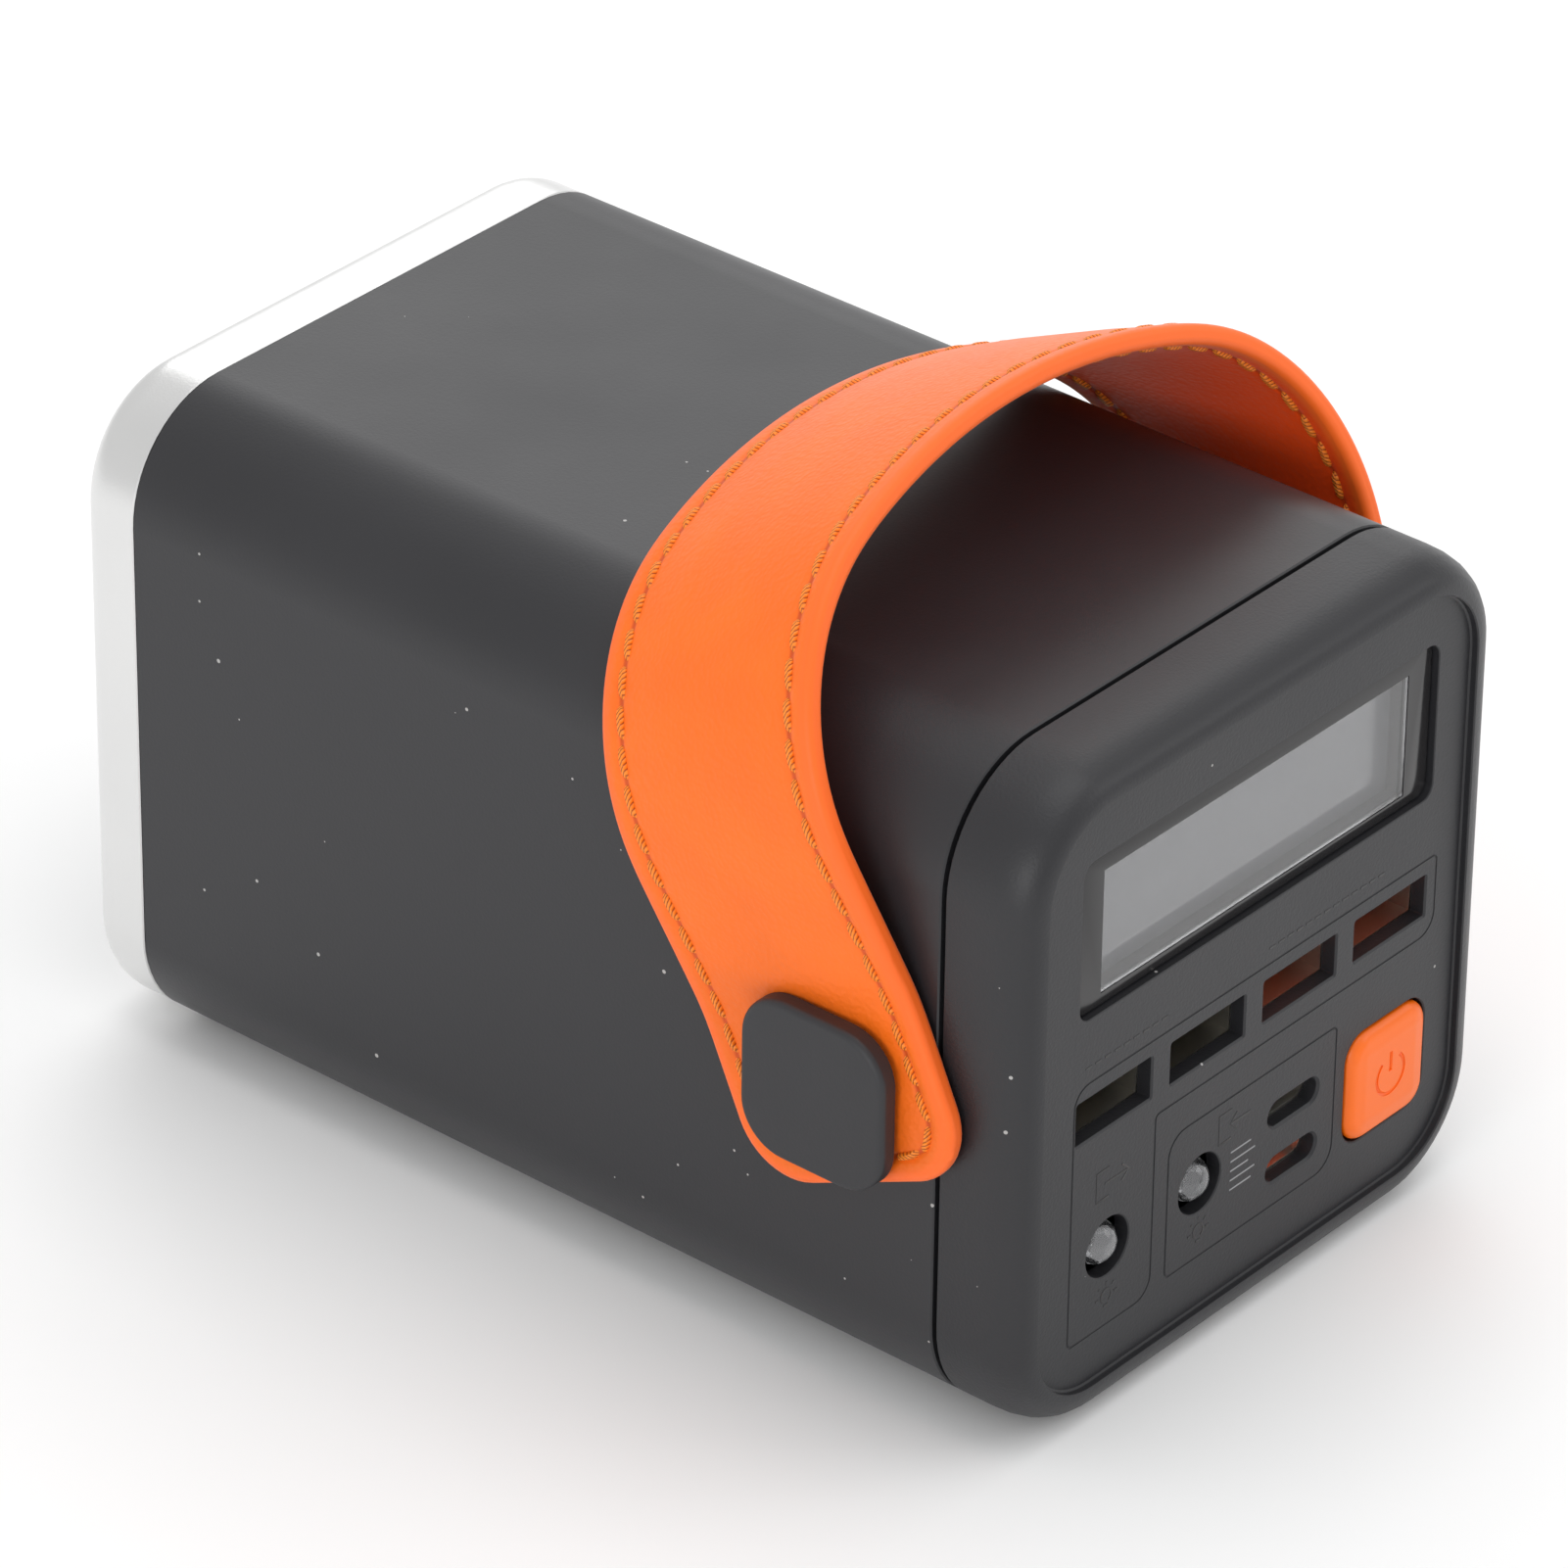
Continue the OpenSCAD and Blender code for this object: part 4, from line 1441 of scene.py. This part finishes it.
@dataclass
class Strap:
    """The leather carrying strap, cut flat, padded, stitched, then wrapped over the box."""

    finishes: Finishes
    path: StrapPath
    width: float = 32.4
    thickness: float = 2.4
    gap: float = 0.45
    end_radius: float = 8.0
    hole: float = 5.6
    edge_round: float = 0.95
    stitch_inset: float = 3.3
    stitch_dip: float = 0.3
    stitch_pitch: float = 4.2
    stitch_radius: float = 0.5
    stitch_share: float = 0.86
    pad: float = 0.22
    pad_start: float = 4.5
    pad_run: float = 4.0
    bead: float = 0.12
    bead_inset: float = 1.7
    crease: float = 0.35
    crease_from_eye: float = 13.5

    def edge_distance(self, x: float, y: float) -> float:
        """Measures how far a point of the flat strap, by its two places, is from the outline."""
        dx = abs(x) - (self.path.total / 2 - self.end_radius)
        dy = abs(y) - (self.width / 2 - self.end_radius)
        outside = math.hypot(max(dx, 0), max(dy, 0)) + min(max(dx, dy), 0)
        return self.end_radius - outside

    def cut_flat(self) -> bpy.types.Object:
        """Cuts the flat strap, rounds its edges and adds the rings that follow its outline."""
        half, side, skin = self.path.total / 2, self.width / 2, self.thickness / 2 - self.edge_round
        strap = block("strap_leather", (-half, -side, -skin), (half, side, skin))
        round_edges(strap, runs_along(2), self.end_radius, 12)
        rings = [*quarter_round(self.edge_round, 5), (0.55, 0), (0.5, 0), (0.4, 0), (0.3, 0), (0.3, 0)]
        rings += [(0.3, 0), (0.3, 0), (0.4, 0), (0.8, 0), (1.2, 0)]
        for way in ((0, 0, 1), (0, 0, -1)):
            raise_face(strap, facing(way), rings)
        return strap

    def divide(self, strap: bpy.types.Object, step: float) -> None:
        """Cuts the flat strap across and along, so that it can bend.

        Args:
            strap: The flat strap.
            step: The distance between the cuts across.
        """
        half = self.path.total / 2
        count = round(2 * half / step)
        cuts = [((-half + 2 * half * i / count, 0, 0), (1, 0, 0)) for i in range(1, count)]
        cuts += [((0, y, 0), (0, 1, 0)) for y in (-6, -2, 2, 6)]
        with editing(strap):
            bpy.ops.mesh.select_mode(type=Part.FACES.value)
            for place_in, way in cuts:
                bpy.ops.mesh.select_all(action="SELECT")
                bpy.ops.mesh.bisect(plane_co=place_in, plane_no=way)

    def shape(self, strap: bpy.types.Object) -> None:
        """Pads the strap, presses in its stitch lines, notes each point's place, and wraps it.

        Args:
            strap: The divided flat strap.
        """
        mesh = strap.data
        gap = mesh.attributes.new("edge_gap", "FLOAT", "POINT")
        inner = mesh.attributes.new("inner_side", "FLOAT", "POINT")
        cap_reach = self.path.total / 2 - self.path.end - self.crease_from_eye
        for vertex in mesh.vertices:
            x, y, z = vertex.co
            distance = self.edge_distance(x, y)
            gap.data[vertex.index].value = distance
            inner.data[vertex.index].value = 1.0 if z < -0.3 else 0.0
            dip = self.stitch_dip * math.exp(-(((distance - self.stitch_inset) / 0.6) ** 2))
            swell = self.pad * min(max((distance - self.pad_start) / self.pad_run, 0), 1)
            swell += self.bead * math.exp(-(((distance - self.bead_inset) / 0.8) ** 2))
            crease = self.crease * math.exp(-(((abs(x) - cap_reach) / 2.2) ** 2) - (y / 8.5) ** 2)
            if z > 0.3:
                vertex.co.z = z - dip + swell + crease
            elif z < -0.3:
                vertex.co.z = z + dip * 0.7
            vertex.co = self.path.wrap(vertex.co)

    def stitch_place(self, run: float) -> tuple[Vector, Vector]:
        """Finds a place on the stitch line of the flat strap.

        Args:
            run: The distance along the stitch line.

        Returns:
            The place and the direction there.
        """
        radius = self.end_radius - self.stitch_inset
        long = self.path.total - 2 * self.end_radius
        short = self.width - 2 * self.end_radius
        bend = math.pi / 2 * radius
        x, y = long / 2, short / 2
        corners = ((x, y), (-x, y), (-x, -y), (x, -y))
        run %= 2 * (long + short) + 4 * bend
        for i, (cx, cy) in enumerate(corners):
            straight = short if i % 2 == 0 else long
            heading = math.pi / 2 * (i + 1)
            ahead = Vector((math.cos(heading), math.sin(heading), 0))
            out = Vector((ahead.y, -ahead.x, 0))
            if run < straight:
                corner = Vector((cx, cy, 0))
                return corner + out * radius - ahead * (straight - run), ahead
            run -= straight
            if run < bend:
                turn = run / radius
                way = Matrix.Rotation(turn, 3, "Z")
                return Vector((cx, cy, 0)) + way @ out * radius, way @ ahead
            run -= bend
        return Vector(corners[-1] + (0.0,)), Vector((1, 0, 0))

    @property
    def stitch_run(self) -> float:
        """The stitch line's length."""
        radius = self.end_radius - self.stitch_inset
        return 2 * (self.path.total + self.width - 4 * self.end_radius) + 2 * math.pi * radius

    def sew(self, side: int) -> None:
        """Sews one side: one stitch is shaped, repeated along its line and wrapped over the box.

        Args:
            side: 1 for the outer side and -1 for the inner.
        """
        count = round(self.stitch_run / self.stitch_pitch)
        pitch = self.stitch_run / count
        long = pitch * self.stitch_share
        clear_selection()
        bpy.ops.mesh.primitive_cylinder_add(
            vertices=6, radius=self.stitch_radius, depth=long, rotation=(0, math.pi / 2, 0)
        )
        name = "strap_stitches_outer" if side > 0 else "strap_stitches_inner"
        thread = name_new(name)
        with editing(thread):
            for i in range(1, 8):
                bpy.ops.mesh.select_all(action="SELECT")
                bpy.ops.mesh.bisect(plane_co=(-long / 2 + long * i / 8, 0, 0), plane_no=(1, 0, 0))
        for vertex in thread.data.vertices:
            along = vertex.co.x / (long / 2)
            thin = 0.55 + 0.45 * math.sqrt(max(0.0, 1 - along**4))
            vertex.co.y = vertex.co.y * thin + 0.16 * along
            vertex.co.z = vertex.co.z * thin - 0.34 * along**4
        ply = thread.data.attributes.new("ply", "FLOAT", "POINT")
        for vertex in thread.data.vertices:
            turn = math.atan2(vertex.co.z, vertex.co.y)
            ply.data[vertex.index].value = vertex.co.x / 0.62 + math.cos(turn)
        make_active(thread)
        bpy.ops.object.modifier_add(type="ARRAY")
        array = thread.modifiers[-1]
        array.count = count
        array.use_relative_offset = False
        array.use_constant_offset = True
        array.constant_offset_displace = (pitch, 0, 0)
        apply_modifiers(thread)
        surface = self.thickness / 2 - self.stitch_dip * (1 if side > 0 else 0.7)
        for vertex in thread.data.vertices:
            place_in, ahead = self.stitch_place(vertex.co.x)
            out = Vector((ahead.y, -ahead.x, 0))
            height = (surface + 0.12 + vertex.co.z) * side
            flat = place_in + out * vertex.co.y
            vertex.co = self.path.wrap(Vector((flat.x, flat.y, height)))
        turn_outward(thread)
        settle(thread, self.finishes["strap_thread"], STRAP_BODY, "leather", angle=60)

    def build(self) -> None:
        """Builds the leather and its stitches."""
        strap = self.cut_flat()
        eyes = [self.path.total / 2 - self.path.end, self.path.end - self.path.total / 2]
        for x in eyes:
            clear_selection()
            bpy.ops.mesh.primitive_cylinder_add(vertices=32, radius=self.hole, depth=8, location=(x, 0, 0))
            cut(strap, [name_new("eye")])
        self.divide(strap, 1.25)
        self.shape(strap)
        settle(strap, self.finishes["strap_leather"], STRAP_BODY, "leather", "strap", angle=50)
        self.sew(1)
        self.sew(-1)


@dataclass
class StrapCap:
    """A grey cap that covers one of the strap's pivots."""

    finishes: Finishes
    side: Side
    size: float = 20.2
    radius: float = 6.0
    thickness: float = 2.6
    fillet: float = 0.85
    hub: float = 4.0

    def build(self) -> None:
        """Builds the cap facing -Y, then turns it to its side."""
        word = self.side.name.lower()
        low, high = node_box(f"strap_cap_{word}")
        reach = max(abs(low.x), abs(high.x))
        body_reach = node_box("body_sleeve")[1].x
        face = -reach
        size, span = (self.size,) * 2, (face + self.fillet + 0.12, face + self.thickness - 0.25)
        cap = rounded_bar(f"cap_{word}", (0, 0), size, self.radius, span, 12)
        crown = [*quarter_round(self.fillet, 6), (1.2, 0.06), (1.6, 0.045), (1.6, 0.015)]
        raise_face(cap, facing(FRONT), crown)
        raise_face(cap, facing(BACK), [(0.25, 0.25)])
        hub = rod("hub", (0, 0), self.hub, (face + self.thickness - 0.1, -body_reach), 40)
        raise_face(hub, facing(BACK), [(1.5, 0), (0, -0.5)])
        cap = join(cap.name, [cap, hub])
        turn = Matrix.Rotation(math.radians(90 * self.side.value), 4, "Z")
        middle = (low + high) / 2
        cap.data.transform(Matrix.Translation((0, middle.y, middle.z)) @ turn)
        settle(cap, self.finishes["cap_grey"], BODY, "cap", f"strap_cap_{word}")


# ---------------------------------------------------------------- the rest of the pieces


@dataclass
class CarriedPieces:
    """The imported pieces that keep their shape, each with the finish of its real counterpart."""

    finishes: Finishes
    STARTS = {
        "screw_steel": ("end_screws", "board_screws", "strap_cap_screws"),
        "holder_grey": ("lcd_holder",),
        "lcd_glass": ("lcd_panel",),
        "diffuser_white": ("lcd_backlight", "switch_plunger"),
        "socket_steel": ("usb_a_shell", "usb_c_shell"),
        "black_plastic": (
            "usb_a_tongue_1", "usb_a_tongue_2", "usb_c_tongue_upper", "power_switch", "cell_holder",
        ),
        "orange_plastic": ("usb_a_tongue_3", "usb_a_tongue_4", "usb_c_tongue_lower"),
        "circuit_board": ("port_board", "power_board"),
        "pillar_brass": ("board_pillars",),
        "ferrite_grey": ("inductors",),
        "can_aluminium": ("capacitors",),
        "fish_paper": ("insulation_sheet",),
        "cell_wrap": ("cell_row",),
        "nickel_strip": ("nickel_strips",),
        "lead_rubber": ("battery_leads",),
        "eyelet_nickel": ("strap_eyelets",),
    }

    def dress_all(self) -> None:
        """Gives each kept node its finish, by how its name starts."""
        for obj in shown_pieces():
            for finish, starts in self.STARTS.items():
                if obj.name.startswith(starts):
                    dress(obj, self.finishes[finish])
                    LOG.info("%s has the finish %s", obj.name, finish)


# ---------------------------------------------------------------- the studio


@dataclass
class Studio:
    """The pale floor, the soft lights and the camera."""

    bounds: tuple[Vector, Vector]
    sky: float = 0.78
    aim: tuple[float, float, float] = (0, 0, 0.04)
    place_from: tuple[float, float, float] = (-0.7016, -0.5885, 0.6044)
    azimuth: float = -49.839
    elevation: float = 30.798
    roll: float = 0.624
    lens: float = 216.54
    shift: Point2 = (0.01906, -0.0851)

    def floor(self) -> None:
        """Lays the floor."""
        clear_selection()
        bpy.ops.mesh.primitive_plane_add(size=6, location=(0, 0, self.bounds[0].z - 0.0002))
        plane = name_new("studio_floor")
        pale = Finish("floor_pale", (0.97, 0.97, 0.97), 0.7, mottle=0.0, grain_height=0.02, specular=0.2)
        dress(plane, pale.make())
        plane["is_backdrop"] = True

    def light(self, name: str, place_at: Sequence[float], size: Point2, power: float) -> None:
        """Hangs one soft light that looks at the station.

        Args:
            name: Its name.
            place_at: Its place.
            size: Its width and height.
            power: Its power in watts.
        """
        data = bpy.data.lights.new(name, "AREA")
        data.shape = "RECTANGLE"
        data.size, data.size_y = size
        data.energy = power
        lamp = bpy.data.objects.new(name, data)
        lamp.location = place_at
        lamp.rotation_euler = (Vector(place_at) - Vector(self.aim)).to_track_quat("Z", "Y").to_euler()
        bpy.context.scene.collection.objects.link(lamp)

    def camera(self) -> None:
        """Sets up the camera."""
        a, e, r = (math.radians(v) for v in (self.azimuth, self.elevation, self.roll))
        back = Vector((math.sin(a) * math.cos(e), -math.cos(a) * math.cos(e), math.sin(e)))
        flat_right = Vector((math.cos(a), math.sin(a), 0))
        flat_up = back.cross(flat_right)
        right = flat_right * math.cos(r) + flat_up * math.sin(r)
        up = flat_up * math.cos(r) - flat_right * math.sin(r)
        data = bpy.data.cameras.new("studio_camera")
        data.lens, data.sensor_width = self.lens, 36
        data.shift_x, data.shift_y = self.shift
        data.clip_start, data.clip_end = 0.05, 50
        camera = bpy.data.objects.new("studio_camera", data)
        turn = Matrix((right, up, back)).transposed().to_4x4()
        camera.matrix_world = Matrix.Translation(self.place_from) @ turn
        bpy.context.scene.collection.objects.link(camera)
        bpy.context.scene.camera = camera

    def build(self) -> None:
        """Sets the studio up."""
        bpy.context.scene.view_settings.view_transform = "Standard"
        world = bpy.data.worlds.new("studio_sky")
        bpy.context.scene.world = world
        world.use_nodes = True
        sky = world.node_tree.nodes["Background"]
        sky.inputs["Color"].default_value = (1, 1, 1, 1)
        sky.inputs["Strength"].default_value = self.sky
        self.floor()
        self.light("rear_softbox", (0.85, 0.75, 0.7), (0.8, 0.7), 2.2)
        self.light("top_softbox", (0.1, 0.0, 1.3), (1.0, 1.0), 4.6)
        self.light("floor_softbox", (0.9, -1.0, 0.9), (0.8, 0.8), 2.5)
        self.light("side_softbox", (-1.2, -0.3, 0.35), (0.6, 0.5), 3.0)
        self.camera()


def main() -> None:
    """Builds the station's pieces in order, then the studio."""
    logging.basicConfig(level=logging.INFO, format="%(name)s: %(message)s", force=True)
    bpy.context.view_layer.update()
    finishes = Finishes()
    plan = BoxPlan.from_frame()
    CarriedPieces(finishes).dress_all()
    front = FrontShell(plan, finishes)
    front.build()
    SleeveShell(plan, finishes).build()
    SilverEnd(plan, finishes).build()
    Display(plan, finishes, front).build()
    for side in Side:
        Lamp(finishes, side).build()
        StrapCap(finishes, side).build()
    PowerKey(finishes).build()
    PanelMarks(plan, finishes).build()
    PortContacts(finishes).build()
    low, high = node_box("strap_cap_left")
    pivot = Vector((0, (low.y + high.y) / 2, (low.z + high.z) / 2))
    Strap(finishes, StrapPath(pivot, plan.half + Strap.gap + Strap.thickness / 2)).build()
    Studio(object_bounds()).build()


if __name__ == "__main__":
    main()
